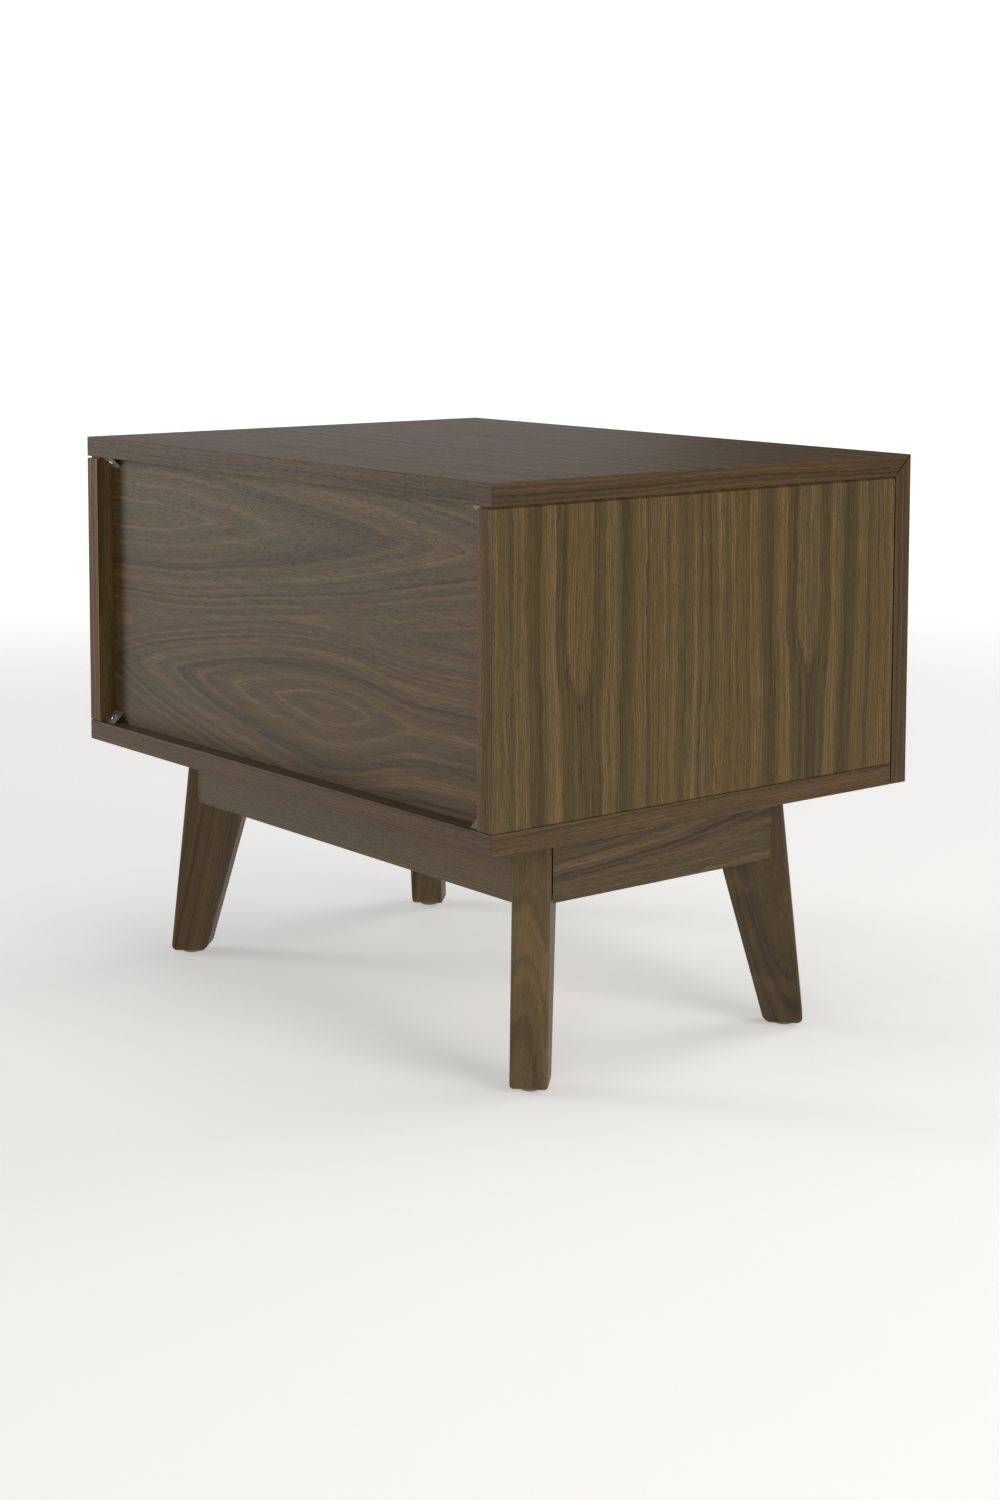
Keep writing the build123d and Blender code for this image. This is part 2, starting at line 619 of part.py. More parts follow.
def ball_cage(web_u, tab_end, ball_u, ball_v, radius):
    """A thin steel strip with a bent tab above and below, holed for the balls."""
    end = CAGE_START + CAGE_LENGTH
    half = CAGE_STEEL / 2
    web = strip(web_u, web_u + CAGE_STEEL, -ball_v - half, ball_v + half, CAGE_START, end)
    tabs = both_levels(web_u, tab_end, ball_v - half, ball_v + half, CAGE_START, end)
    pitch = CAGE_LENGTH / BALLS_PER_ROW
    x = INNER_X - ball_u
    z = RUNNER_Z - ball_v - 2
    places = [CAGE_START + pitch * (i + 0.5) for i in range(BALLS_PER_ROW)]
    windows = [rod((x, y, z), UP, 2 * ball_v + 4, radius + CAGE_PLAY) for y in places]
    return web + tabs - windows


outer_cage = ball_cage(OUTER_CAGE_FROM, OUTER_CAGE_TO, OUTER_BALL_U, OUTER_BALL_V, OUTER_BALL)
inner_cage = ball_cage(INNER_CAGE_FROM, INNER_CAGE_TO, INNER_BALL_U, INNER_BALL_V, INNER_BALL)
outer_balls = ball_rows(OUTER_BALL_U, OUTER_BALL_V, OUTER_BALL)
inner_balls = ball_rows(INNER_BALL_U, INNER_BALL_V, INNER_BALL)

RUNNER_SCREW_OFFSETS = (14.0, 170.0, 325.0)
CABINET_SCREW = flat_screw(15.0, 1.8, 3.4, STEEL)
DRAWER_SCREW = flat_screw(10.5, 1.8, 3.4, STEEL)
cabinet_screws = [
    Screw(CABINET_SCREW, (INNER_X - STEEL, RUNNER_START + y, RUNNER_Z), (1, 0, 0), 0.8, 2.0)
    for y in RUNNER_SCREW_OFFSETS
]
drawer_screws = [
    Screw(DRAWER_SCREW, (INNER_X - WEB_END + STEEL, RUNNER_START + y, RUNNER_Z), (-1, 0, 0), 0.8, 2.0)
    for y in RUNNER_SCREW_OFFSETS
]
# A thin spacer fills what the runner leaves of its space at the drawer's side.
runner_shim = strip(WEB_END, RUNNER_THICKNESS, -DRAWER_MEMBER_V, DRAWER_MEMBER_V)
members = {
    "runner_cabinet_member": cabinet_member() - holes(cabinet_screws),
    "runner_middle_member": middle_member(),
    "runner_drawer_member": drawer_member() + runner_shim - holes(drawer_screws),
}

# ---- cabinet boards
mitre_foot = CARCASS_FRONT
mitre_tip = CARCASS_FRONT - BOARD
top_outline = [(mitre_tip, TOP), (mitre_foot, CAVITY_ROOF), (REAR, CAVITY_ROOF), (REAR, TOP)]
top_blank = extrude(Plane.YZ * make_face(Polyline(*top_outline, close=True)), HALF_WIDTH, both=True)
top_edges = [edge for edge in top_blank.edges() if edge.center().Y > mitre_foot + 1]
top_panel = fillet(top_edges, EASE) - cam_cuts - carcass_dowels - wedge_screw_cuts

bottom_blank = eased(block(-HALF_WIDTH, HALF_WIDTH, CARCASS_FRONT, REAR, FLOOR_TO_BOX, CAVITY_FLOOR))
bottom_panel = bottom_blank - cam_cuts - carcass_dowels - wedge_screw_cuts
bottom_panel = bottom_panel - holes(base_screws) - holes(latch_screws)

back_panel = block(-INNER_X, INNER_X, BACK_FRONT, BACK_REAR, CAVITY_FLOOR, CAVITY_ROOF) - wedge_screw_cuts


def line_cuts(height, depth, z0):
    """The rebate that leaves a shadow line at the outer face and the rear edge of a side board."""
    at_face = block(HALF_WIDTH - depth, HALF_WIDTH + 1, CARCASS_FRONT - 1, REAR + 1, z0, z0 + height)
    at_rear = block(INNER_X - 1, HALF_WIDTH + 1, REAR - depth, REAR + 1, z0, z0 + height)
    return [at_face, at_rear]


side_blank = eased(block(INNER_X, HALF_WIDTH, CARCASS_FRONT, REAR, CAVITY_FLOOR, CAVITY_ROOF))
side_lines = line_cuts(SHADOW_HEIGHT, SHADOW_DEPTH, CAVITY_ROOF - SHADOW_HEIGHT)
side_lines += line_cuts(FINE_LINE_HEIGHT, FINE_LINE_DEPTH, CAVITY_FLOOR)
side_panel = side_blank - side_lines - cam_cuts - carcass_dowels - holes(cabinet_screws)

# ---- drawer boards
front_outline = [(FRONT, FLOOR_TO_BOX), (FRONT_BACK, FLOOR_TO_BOX), (FRONT_BACK, CAVITY_ROOF), (FRONT, TOP)]
front_blank = extrude(Plane.YZ * make_face(Polyline(*front_outline, close=True)), HALF_WIDTH, both=True)
front_edges = [edge for edge in front_blank.edges() if edge.center().Z < CAVITY_ROOF - 1]
front_blank = fillet(front_edges, EASE)

FRONT_SCREW = pan_screw(25.0, 2.0, 4.2, 2.2)
FRONT_SCREW_X = 200.0
front_screws = [
    Screw(FRONT_SCREW, (s * FRONT_SCREW_X, FRONT_BACK + DRAWER_WALL, z), FORWARD, 1.4, 2.4, stand_off=2.2)
    for s in (-1, 1)
    for z in (DRAWER_FLOOR_HIGH + 24, DRAWER_HEAD - 30)
]
BOX_SCREW = flat_screw(35.0, 2.0, 4.0, 2.4)
box_screws = [
    Screw(BOX_SCREW, (s * DRAWER_X, y, z), (-s, 0, 0), 1.4, 2.4)
    for s in (-1, 1)
    for y in (FRONT_BACK + DRAWER_WALL / 2, DRAWER_REAR - DRAWER_WALL / 2)
    for z in (DRAWER_FLOOR_HIGH + 9, DRAWER_HEAD - 26)
]

groove_x = DRAWER_INNER_X + DRAWER_GROOVE
groove_front = FRONT_BACK + DRAWER_WALL - DRAWER_GROOVE
groove_rear = DRAWER_REAR - DRAWER_WALL + DRAWER_GROOVE
drawer_bottom = block(-groove_x, groove_x, groove_front, groove_rear, DRAWER_FLOOR_LOW, DRAWER_FLOOR_HIGH)
box_cuts = [drawer_bottom] + holes(box_screws) + holes(front_screws)


def drawer_board(x0, x1, y0, y1, extra=()):
    """A wall of the drawer box with a rounded top edge, grooved for the bottom."""
    board = block(x0, x1, y0, y1, DRAWER_FOOT, DRAWER_HEAD)
    long_axis = Axis.Y if y1 - y0 > x1 - x0 else Axis.X
    rims = board.edges().filter_by(long_axis).filter_by(lambda e: e.center().Z > DRAWER_HEAD - 1)
    return fillet(rims, DRAWER_RIM_ROUND) - box_cuts - list(extra)


runner_cuts = holes(drawer_screws)
drawer_side = drawer_board(DRAWER_INNER_X, DRAWER_X, FRONT_BACK, DRAWER_REAR, runner_cuts)
inner_front_end = FRONT_BACK + DRAWER_WALL
drawer_box_front = drawer_board(-DRAWER_INNER_X, DRAWER_INNER_X, FRONT_BACK, inner_front_end)
drawer_back_start = DRAWER_REAR - DRAWER_WALL
drawer_back = drawer_board(-DRAWER_INNER_X, DRAWER_INNER_X, drawer_back_start, DRAWER_REAR, [strike_spike])

# ---- write every node
os.makedirs("parts", exist_ok=True)

save("top_panel", top_panel)
save("bottom_panel", bottom_panel)
save("back_panel", back_panel)
save("cam_locks", *cam_locks)
save("cam_bolts", *cam_bolts)
save("carcass_dowels", *carcass_dowels)
save("back_wedge_screws", *wedge_screws)

for side in SIDES:
    save(side + "_side_panel", sided(side_panel, side))
    save("back_wedge_upper_" + side, sided(upper_right_wedge, side))
    save("back_wedge_lower_" + side, sided(lower_of(upper_right_wedge), side))
    save("drawer_side_" + side, sided(drawer_side, side))
    for member, shape in members.items():
        save(member + "_" + side, sided(shape, side))

for corner in CORNERS:
    save("leg_" + corner, at_corner(leg_piece, corner))
    save("foot_glide_" + corner, at_corner(foot_glide, corner))
    save("corner_brace_" + corner, at_corner(corner_brace_piece, corner))

for place, shape in aprons.items():
    save("apron_" + place, shape)

save("leg_dowels", *every_corner(leg_dowels))
save("hanger_bolts", *every_corner([hanger_bolt]))
save("hanger_nuts", *every_corner([hanger_nut]))
save("brace_screws", *every_corner(solids(brace_screws)))
save("glide_nails", *every_corner([glide_nail]))
save("base_screws", *solids(base_screws))

save("runner_cabinet_screws", *[sided(s, side) for side in SIDES for s in solids(cabinet_screws)])
save("runner_drawer_screws", *[sided(s, side) for side in SIDES for s in solids(drawer_screws)])
save("runner_outer_ball_cages", *[sided(outer_cage, side) for side in SIDES])
save("runner_inner_ball_cages", *[sided(inner_cage, side) for side in SIDES])
save("runner_outer_balls", *[sided(ball, side) for side in SIDES for ball in outer_balls])
save("runner_inner_balls", *[sided(ball, side) for side in SIDES for ball in inner_balls])

save("drawer_front", front_blank - holes(front_screws))
save("drawer_box_front", drawer_box_front)
save("drawer_back", drawer_back)
save("drawer_bottom", drawer_bottom)
save("drawer_box_screws", *solids(box_screws))
save("drawer_front_screws", *solids(front_screws))

save("latch_housing", latch_housing() - holes(latch_screws))
save("latch_plunger", latch_plunger())
save("latch_spring", latch_spring())
save("latch_screws", *solids(latch_screws))
save("latch_strike", strike_plate + strike_spike)
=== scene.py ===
import math
from itertools import product
from types import SimpleNamespace

import bpy
from mathutils import Matrix, Vector


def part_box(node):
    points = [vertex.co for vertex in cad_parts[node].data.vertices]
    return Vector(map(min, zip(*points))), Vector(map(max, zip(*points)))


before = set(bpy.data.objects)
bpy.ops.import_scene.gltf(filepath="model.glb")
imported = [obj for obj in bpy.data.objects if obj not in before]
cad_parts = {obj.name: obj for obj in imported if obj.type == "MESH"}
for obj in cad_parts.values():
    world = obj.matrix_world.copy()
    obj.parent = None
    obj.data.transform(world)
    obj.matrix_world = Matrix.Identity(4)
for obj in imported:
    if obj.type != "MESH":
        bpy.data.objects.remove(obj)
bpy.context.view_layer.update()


def paint(red, green, blue):
    """A colour given in 0 to 255, as the linear colour that shaders use."""

    def linear(value):
        share = value / 255
        return share / 12.92 if share <= 0.04045 else ((share + 0.055) / 1.055) ** 2.4

    return (linear(red), linear(green), linear(blue), 1.0)


# ---------------------------------------------------------------------------------------------
# View and light
# ---------------------------------------------------------------------------------------------
# the camera's turns are in degrees, its lens in millimetres and its shift in frame heights
CAMERA_PLACE = Vector((-1.775, 1.395, 0.665))
CAMERA_YAW = -38.58
CAMERA_PITCH = -5.58
CAMERA_ROLL = 0.12
LENS = 60.5
SHIFT_DOWN = 0.1667

WHITE = (1.0, 1.0, 1.0, 1.0)
STUDIO_WHITE = 0.07
BACKGROUND_WHITE = 1.15

# the floor is solid near the object and fades out between two distances from the middle
FLOOR_HALF = 5.0
FLOOR_FADES_FROM = 1.3
FLOOR_FADES_TO = 3.4
FLOOR_PAPER = (paint(243, 242, 240), paint(247, 246, 245))
FLOOR_MOTTLES = 1.5
FLOOR_ROUGHNESS = 0.9
FLOOR_SHADER = {"Emission Color": WHITE, "Emission Strength": 0.36, "Specular IOR Level": 0.1}

# name: place, size, power in watts, colour
LIGHTS = {
    "window_left": ((2.6, 2.05, 0.85), 1.0, 36.0, (1.0, 0.99, 0.97)),
    "fill_right": ((-2.9, -0.3, 1.1), 1.6, 34.0, (1.0, 0.97, 0.91)),
    "camera_side": ((-1.9, 1.9, 0.7), 1.0, 11.0, (1.0, 0.97, 0.92)),
    "overhead": ((0.0, 0.1, 3.2), 2.6, 22.0, (1.0, 0.99, 0.98)),
    "far_left": ((2.7, -1.65, 0.8), 1.6, 7.2, (0.97, 0.96, 1.0)),
    "front": ((-0.4, -3.0, 1.6), 2.0, 30.0, (1.0, 0.985, 0.97)),
}
LIGHT_TARGET = Vector((0.0, 0.0, 0.3))

# ---------------------------------------------------------------------------------------------
# Names of the CAD's nodes
# ---------------------------------------------------------------------------------------------
AXES = ("x", "y", "z")
SIDES = ("left", "right")
ENDS = ("front", "back")
RACES = ("outer", "inner")


def each(pattern, *places):
    """The names that a pattern gives for every choice of its places."""
    return [pattern.format(*choice) for choice in product(*places)]


def give(material, *nodes):
    """Puts the material on CAD nodes."""
    for name in nodes:
        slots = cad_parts[name].data.materials
        slots.clear()
        slots.append(material)


# ---------------------------------------------------------------------------------------------
# Shader graphs
# ---------------------------------------------------------------------------------------------
BUMP_STRENGTH = 0.6
WOOD_BUMP = 0.0002
METAL_BUMP = 0.00005
PLASTIC_BUMP = 0.00006


class Graph:
    """One procedural material. Each method adds a node and returns what comes out of it."""

    def __init__(self, name):
        self.material = bpy.data.materials.new(name)
        self.material.use_nodes = True
        self.tree = self.material.node_tree
        self.shader = self.tree.nodes["Principled BSDF"]
        self.texture_place = self.tree.nodes.new("ShaderNodeTexCoord")
        self.place = self.texture_place.outputs["Object"]
        self.along_axes = self.split(self.place)

    def feed(self, socket, value):
        if isinstance(value, bpy.types.NodeSocket):
            self.tree.links.new(value, socket)
        elif value is not None:
            socket.default_value = value

    def math(self, operation, first, second=None, third=None):
        node = self.tree.nodes.new("ShaderNodeMath")
        node.operation = operation
        for socket, value in zip(node.inputs, (first, second, third)):
            self.feed(socket, value)
        return node.outputs[0]

    def add(self, *terms):
        total = terms[0]
        for term in terms[1:]:
            total = self.math("ADD", total, term)
        return total

    def times(self, *terms):
        total = terms[0]
        for term in terms[1:]:
            total = self.math("MULTIPLY", total, term)
        return total

    def less(self, first, second):
        return self.math("SUBTRACT", first, second)

    def divide(self, first, second):
        return self.math("DIVIDE", first, second)

    def split(self, vector):
        node = self.tree.nodes.new("ShaderNodeSeparateXYZ")
        self.feed(node.inputs[0], vector)
        return tuple(node.outputs)

    def join(self, x, y, z=0.0):
        node = self.tree.nodes.new("ShaderNodeCombineXYZ")
        for socket, value in zip(node.inputs, (x, y, z)):
            self.feed(socket, value)
        return node.outputs[0]

    def noise(self, vector, scale=1.0, detail=2.0, roughness=0.5):
        node = self.tree.nodes.new("ShaderNodeTexNoise")
        self.feed(node.inputs["Vector"], vector)
        self.feed(node.inputs["Scale"], scale)
        self.feed(node.inputs["Detail"], detail)
        self.feed(node.inputs["Roughness"], roughness)
        return node.outputs[0]

    def grain_noise(self, along, across, pattern, seed, **settings):
        """Noise drawn out along the grain. The pattern says how often it repeats per metre along the grain
        and across it, and by how much it is shifted from other patterns."""
        along_rate, across_rate, shift = pattern
        place = self.join(self.times(along, along_rate), self.times(across, across_rate), seed + shift)
        return self.noise(place, **settings)

    def band_noise(self, value, scale=1.0, detail=2.0, roughness=0.5):
        node = self.tree.nodes.new("ShaderNodeTexNoise")
        node.noise_dimensions = "1D"
        self.feed(node.inputs["W"], value)
        self.feed(node.inputs["Scale"], scale)
        self.feed(node.inputs["Detail"], detail)
        self.feed(node.inputs["Roughness"], roughness)
        return node.outputs[0]

    def smooth(self, value, low, high, start=0.0, end=1.0):
        """start at low and end at high, with a soft change between."""
        node = self.tree.nodes.new("ShaderNodeMapRange")
        node.interpolation_type = "SMOOTHSTEP"
        self.feed(node.inputs["Value"], value)
        self.feed(node.inputs["From Min"], low)
        self.feed(node.inputs["From Max"], high)
        self.feed(node.inputs["To Min"], start)
        self.feed(node.inputs["To Max"], end)
        return node.outputs[0]

    def hill(self, value, centre, width):
        """1 at the centre, falling to 0 over about twice the width each way."""
        offset = self.divide(self.less(value, centre), width)
        return self.math("EXPONENT", self.times(offset, offset, -1.0))

    def mix(self, share, first, second, blend="MIX"):
        node = self.tree.nodes.new("ShaderNodeMix")
        node.data_type = "RGBA"
        node.blend_type = blend
        self.feed(node.inputs[0], share)
        self.feed(node.inputs[6], first)
        self.feed(node.inputs[7], second)
        return node.outputs[2]

    def shaded(self, colour, shade):
        """The colour made darker below a shade of 1 and lighter above it."""
        return self.mix(1.0, colour, self.join(shade, shade, shade), "MULTIPLY")

    def between(self, share, first, second):
        """first at share 0 and second at share 1, for plain numbers."""
        return self.add(first, self.times(share, self.less(second, first)))

    def largest(self, *values):
        result = values[0]
        for value in values[1:]:
            result = self.math("MAXIMUM", value, result)
        return result

    def facing(self, axis):
        """How squarely the surface looks along an axis, either way, from 0 to 1."""
        parts = self.split(self.texture_place.outputs["Normal"])
        return self.math("ABSOLUTE", parts[AXES.index(axis)])

    def finish(self, colour, roughness, bump=None, bump_depth=WOOD_BUMP, constants=None):
        self.feed(self.shader.inputs["Base Color"], colour)
        self.feed(self.shader.inputs["Roughness"], roughness)
        if bump is not None:
            node = self.tree.nodes.new("ShaderNodeBump")
            node.inputs["Strength"].default_value = BUMP_STRENGTH
            node.inputs["Distance"].default_value = bump_depth
            self.feed(node.inputs["Height"], bump)
            self.feed(self.shader.inputs["Normal"], node.outputs[0])
        for name, value in (constants or {}).items():
            self.shader.inputs[name].default_value = value
        return self.material


# ---------------------------------------------------------------------------------------------
# Surfaces of a board
# ---------------------------------------------------------------------------------------------
# how squarely a surface looks along an axis: where one side of a board is parted from the next, and where a
# rounded edge ends and begins
SIDE_PARTING = (0.71, 0.73)
ROUNDED = (0.985, 0.90)


def from_middle(graph, node):
    """How far a point lies from the middle of a node, along each axis."""
    low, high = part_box(node)
    middle = (low + high) / 2
    return dict(zip(AXES, (graph.less(place, m) for place, m in zip(graph.along_axes, middle))))


def surface_of_board(graph, local, face, grain):
    """Where a point lies in the veneer of the surface it is on: along the grain, across it, and 1 on the
    faces or 0 on the edges. grain says which axis the grain follows on the surfaces that look along each."""
    along, across = 0.0, 0.0
    edges = [axis for axis in AXES if axis != face]
    shares = {axis: graph.smooth(graph.facing(axis), *SIDE_PARTING) for axis in edges}
    shares[face] = graph.less(graph.less(1.0, shares[edges[0]]), shares[edges[1]])
    for axis, share in shares.items():
        length = grain[axis]
        width = next(a for a in AXES if a not in (axis, length))
        along = graph.add(along, graph.times(share, local[length]))
        across = graph.add(across, graph.times(share, local[width]))
    return along, across, shares[face]


def rounded_edge(graph):
    """1 where the surface turns from one square face to another."""
    return graph.smooth(graph.largest(*(graph.facing(axis) for axis in reversed(AXES))), *ROUNDED)


# ---------------------------------------------------------------------------------------------
# Walnut
# ---------------------------------------------------------------------------------------------
WALNUT_DARK = paint(57, 43, 22)
WALNUT_MID = paint(93, 74, 41)
WALNUT_LIGHT = paint(122, 100, 64)
WALNUT_AMBER = paint(126, 95, 54)
WALNUT_GREY = paint(83, 74, 50)
WALNUT_PORE = paint(42, 29, 14)
WALNUT_GLUE = paint(36, 26, 12)

# the middle of a noise pattern's range
MIDDLE = 0.5

# patterns in the grain: how often each repeats per metre along the grain and across it, and its shift
SLOW_WAVES = (5.0, 9.0, 0.0)
RIPPLES = (28.0, 60.0, 4.0)
JITTER = (95.0, 260.0, 7.0)
CLOUDS = (3.0, 12.0, 9.0)
STREAKS = (4.0, 330.0, 2.0)
PORES = (170.0, 1500.0, 5.0)
BOLD_YEARS = (6.0, 3.7, 6.0)
FIBRES_ACROSS = 900.0

# the ripples' size as a share of the slow waves', and the jitter's in metres
RIPPLE_SHARE = 0.30
JITTER_SIZE = 0.0028

# patterns across the rings: how often each repeats per ring and its shift for each step of the seed, then by
# how many rings it moves the years, or its share of the tone
UNEVEN_RATE, UNEVEN_SHIFT, UNEVEN_RINGS = 0.16, 5.7, 3.6
BAND_RATE, BAND_SHIFT, BAND_SHARE = 0.42, 7.3, 0.7
FINE_RATE, FINE_SHIFT, FINE_SHARE = 2.6, 3.1, 0.3
# the tone of a plain leaf
CALM_TONE = 0.53

# where in its range a pattern begins to show and where it shows in full
CLOUD_SHOWS = (0.35, 0.65)
BOLD_SHOWS = (0.36, 0.66)
FIBRE_SHOWS = (0.30, 0.70)
PORE_SHOWS = (0.60, 0.70)

# how far from the middle a tone shows in full, and how strongly light and dark tones show
TONE_SPREAD = 0.14
LIGHT_TONES = 0.75
DARK_TONES = 0.85

# the lines of one year: place in the year and width of the amber line, and widths of the dark line on each
# side of the year's turn
AMBER_LINE = (0.24, 0.18)
DARK_LINE_AFTER = 0.07
DARK_LINE_BEFORE = 0.16
# the least weight of a dark line, and how strongly all of them show
FAINTEST_DARK_LINE = 0.25
DARK_LINES = 0.55

WALNUT_ROUGHNESS = 0.42
FIBRE_ROUGHNESS, PORE_ROUGHNESS = 0.14, 0.12
FIBRE_HEIGHT, PORE_DEPTH = 0.35, 0.9

# the edge bands: their rings' spacing, how far a step of the seed shifts these, and their tint
EDGE_SPACING = 0.0026
EDGE_SHIFT = 3.0
EDGE_TINT = (1.12, 0.97, 0.76)

# the corners: how much they darken, and the patches where they are worn pale
CORNER_DARKENING = 0.45
WEAR_RATE, WEAR_SHOWS, WEAR_SHARE = 60.0, (0.55, 0.68), 0.5

# a plain walnut's looks. calm is the ring inside which a leaf is plain. stripes are bands: ring, width and
# strength, which is below zero for pale ones. stray is how far the grain wanders, in metres. fibre_rate is
# how often the fibres repeat per metre along the grain. edge_shade is the brightness of the edge bands.
WALNUT = {
    "grey": 0.4,
    "contrast": 1.0,
    "amber": 0.5,
    "shade": 1.0,
    "pores": 0.6,
    "fibres": 0.25,
    "fibre_rate": 11.0,
    "streaks": 0.35,
    "calm": 0.01,
    "stripes": (),
    "stray": 0.008,
    "gloss": 0.36,
    "edge_shade": 0.82,
}


def wandering(graph, along, across, amount, seed):
    """How far the grain has strayed sideways, in metres: slow waves, a little ripple and a fine jitter."""
    slow = graph.grain_noise(along, across, SLOW_WAVES, seed, detail=1.0)
    ripple = graph.grain_noise(along, across, RIPPLES, seed, detail=2.0)
    slow = graph.times(graph.less(slow, MIDDLE), amount)
    ripple = graph.times(graph.less(ripple, MIDDLE), amount * RIPPLE_SHARE)
    jitter = graph.grain_noise(along, across, JITTER, seed, detail=2.0)
    jitter = graph.times(graph.less(jitter, MIDDLE), JITTER_SIZE)
    return graph.add(slow, ripple, jitter)


def ring_tones(graph, along, across, rings, years, seed, look):
    """Light and dark bands that follow the rings, with streaks along the grain."""
    bands = graph.band_noise(graph.add(years, seed * BAND_SHIFT), scale=BAND_RATE, detail=3.0, roughness=0.62)
    bands = graph.between(graph.smooth(rings, 0.5 * look.calm, look.calm), CALM_TONE, bands)
    fine = graph.band_noise(graph.add(years, seed * FINE_SHIFT), scale=FINE_RATE, detail=3.0, roughness=0.6)
    cloud = graph.grain_noise(along, across, CLOUDS, seed, detail=2.0)
    streaks = graph.grain_noise(along, across, STREAKS, seed, detail=3.0, roughness=0.65)
    colour = graph.mix(graph.times(graph.smooth(cloud, *CLOUD_SHOWS), look.grey), WALNUT_MID, WALNUT_GREY)
    low, high = MIDDLE - TONE_SPREAD / look.contrast, MIDDLE + TONE_SPREAD / look.contrast
    ringed = graph.add(graph.times(bands, BAND_SHARE), graph.times(fine, FINE_SHARE))
    tone = graph.between(look.streaks, ringed, streaks)
    colour = graph.mix(graph.times(graph.smooth(tone, MIDDLE, high), LIGHT_TONES), colour, WALNUT_LIGHT)
    colour = graph.mix(graph.times(graph.smooth(tone, MIDDLE, low), DARK_TONES), colour, WALNUT_DARK)
    for ring, width, strength in look.stripes:
        stripe = WALNUT_DARK if strength > 0 else WALNUT_LIGHT
        colour = graph.mix(graph.times(graph.hill(rings, ring, width), abs(strength)), colour, stripe)
    return colour


def year_lines(graph, colour, along, years, seed, look):
    """An amber line in each year and a dark one at its turn, bold in some places and faint in others."""
    turn = graph.math("FRACT", years)
    which = graph.math("FLOOR", years)
    bold = graph.grain_noise(along, which, BOLD_YEARS, seed, detail=1.0)
    bold = graph.smooth(bold, *BOLD_SHOWS)
    amber = graph.times(graph.hill(turn, *AMBER_LINE), bold, look.amber)
    darkness = graph.add(bold, FAINTEST_DARK_LINE)
    after = graph.times(graph.hill(turn, 0.0, DARK_LINE_AFTER), darkness, look.amber)
    before = graph.times(graph.hill(turn, 1.0, DARK_LINE_BEFORE), darkness, look.amber)
    colour = graph.mix(amber, colour, WALNUT_AMBER)
    return graph.mix(graph.times(graph.add(after, before), DARK_LINES), colour, WALNUT_DARK)


def walnut_look(graph, along, across, rings, seed, look):
    """Walnut's colour, roughness and height: what follows the rings, and fibres and pores along the grain."""
    uneven = graph.band_noise(graph.add(rings, seed * UNEVEN_SHIFT), scale=UNEVEN_RATE, detail=1.0)
    years = graph.add(rings, graph.times(graph.less(uneven, MIDDLE), UNEVEN_RINGS))
    colour = ring_tones(graph, along, across, rings, years, seed, look)
    colour = year_lines(graph, colour, along, years, seed, look)

    fibre_pattern = (look.fibre_rate, FIBRES_ACROSS, 0.0)
    fibres = graph.grain_noise(along, across, fibre_pattern, seed, detail=2.0, roughness=0.6)
    pores = graph.smooth(graph.grain_noise(along, across, PORES, seed, detail=1.0), *PORE_SHOWS)
    weave = graph.smooth(fibres, *FIBRE_SHOWS, 1.0 - look.fibres, 1.0 + look.fibres)
    colour = graph.shaded(colour, graph.times(weave, look.shade))
    colour = graph.mix(graph.times(pores, look.pores), colour, WALNUT_PORE)

    rougher = (graph.times(fibres, FIBRE_ROUGHNESS), graph.times(pores, PORE_ROUGHNESS))
    roughness = graph.add(WALNUT_ROUGHNESS, *rougher)
    height = graph.less(graph.times(fibres, FIBRE_HEIGHT), graph.times(pores, PORE_DEPTH))
    return colour, roughness, height


def walnut_board(name, node, face, grain, figure, seed, changes):
    """A veneered board's material, with the grain of each of its surfaces."""
    look = SimpleNamespace(**{**WALNUT, **changes})
    graph = Graph(name)
    along, across, on_face = surface_of_board(graph, from_middle(graph, node), face, grain)
    strayed = graph.add(across, wandering(graph, along, across, look.stray, seed))
    face_rings = figure(graph, along, strayed)
    edge_rings = graph.add(graph.divide(strayed, EDGE_SPACING), EDGE_SHIFT * seed)
    rings = graph.between(on_face, edge_rings, face_rings)
    colour, roughness, height = walnut_look(graph, along, strayed, rings, seed, look)
    edge_tint = (*(tint * look.edge_shade for tint in EDGE_TINT), 1.0)
    colour = graph.mix(1.0, colour, graph.mix(on_face, edge_tint, WHITE), "MULTIPLY")
    corner = rounded_edge(graph)
    worn = graph.smooth(graph.noise(graph.place, scale=WEAR_RATE, detail=3.0), *WEAR_SHOWS)
    colour = graph.mix(graph.times(corner, CORNER_DARKENING), colour, WALNUT_GLUE)
    colour = graph.mix(graph.times(corner, worn, WEAR_SHARE), colour, WALNUT_LIGHT)
    return graph.finish(colour, roughness, height, constants={"Specular IOR Level": look.gloss})


# ---------------------------------------------------------------------------------------------
# Figures: how many rings lie between a point of a board's face and the figure's middle
# ---------------------------------------------------------------------------------------------
ROUND_TONGUE = 2.0
POINTED_TONGUE = 1.3

# flat-cut leaves: a leaf's width, where its tongue's axis lies in it, the rings' spacing, between which
# places along the board the tongue closes, and how many rings deep the cut lies at these places
SIDE_LEAVES = {"leaf": 0.25, "axis": 0.088, "spacing": 0.0042, "ends": (0.030, -0.045), "depths": (0.3, 3.7)}
LONG_LEAVES = {"leaf": 0.23, "axis": 0.10, "spacing": 0.0045, "ends": (-0.15, 0.30), "depths": (0.3, 6.0)}
APRON_LEAVES = {"leaf": 0.30, "axis": 0.11, "spacing": 0.0028, "ends": (-0.16, 0.20), "depths": (14.0, 0.4)}

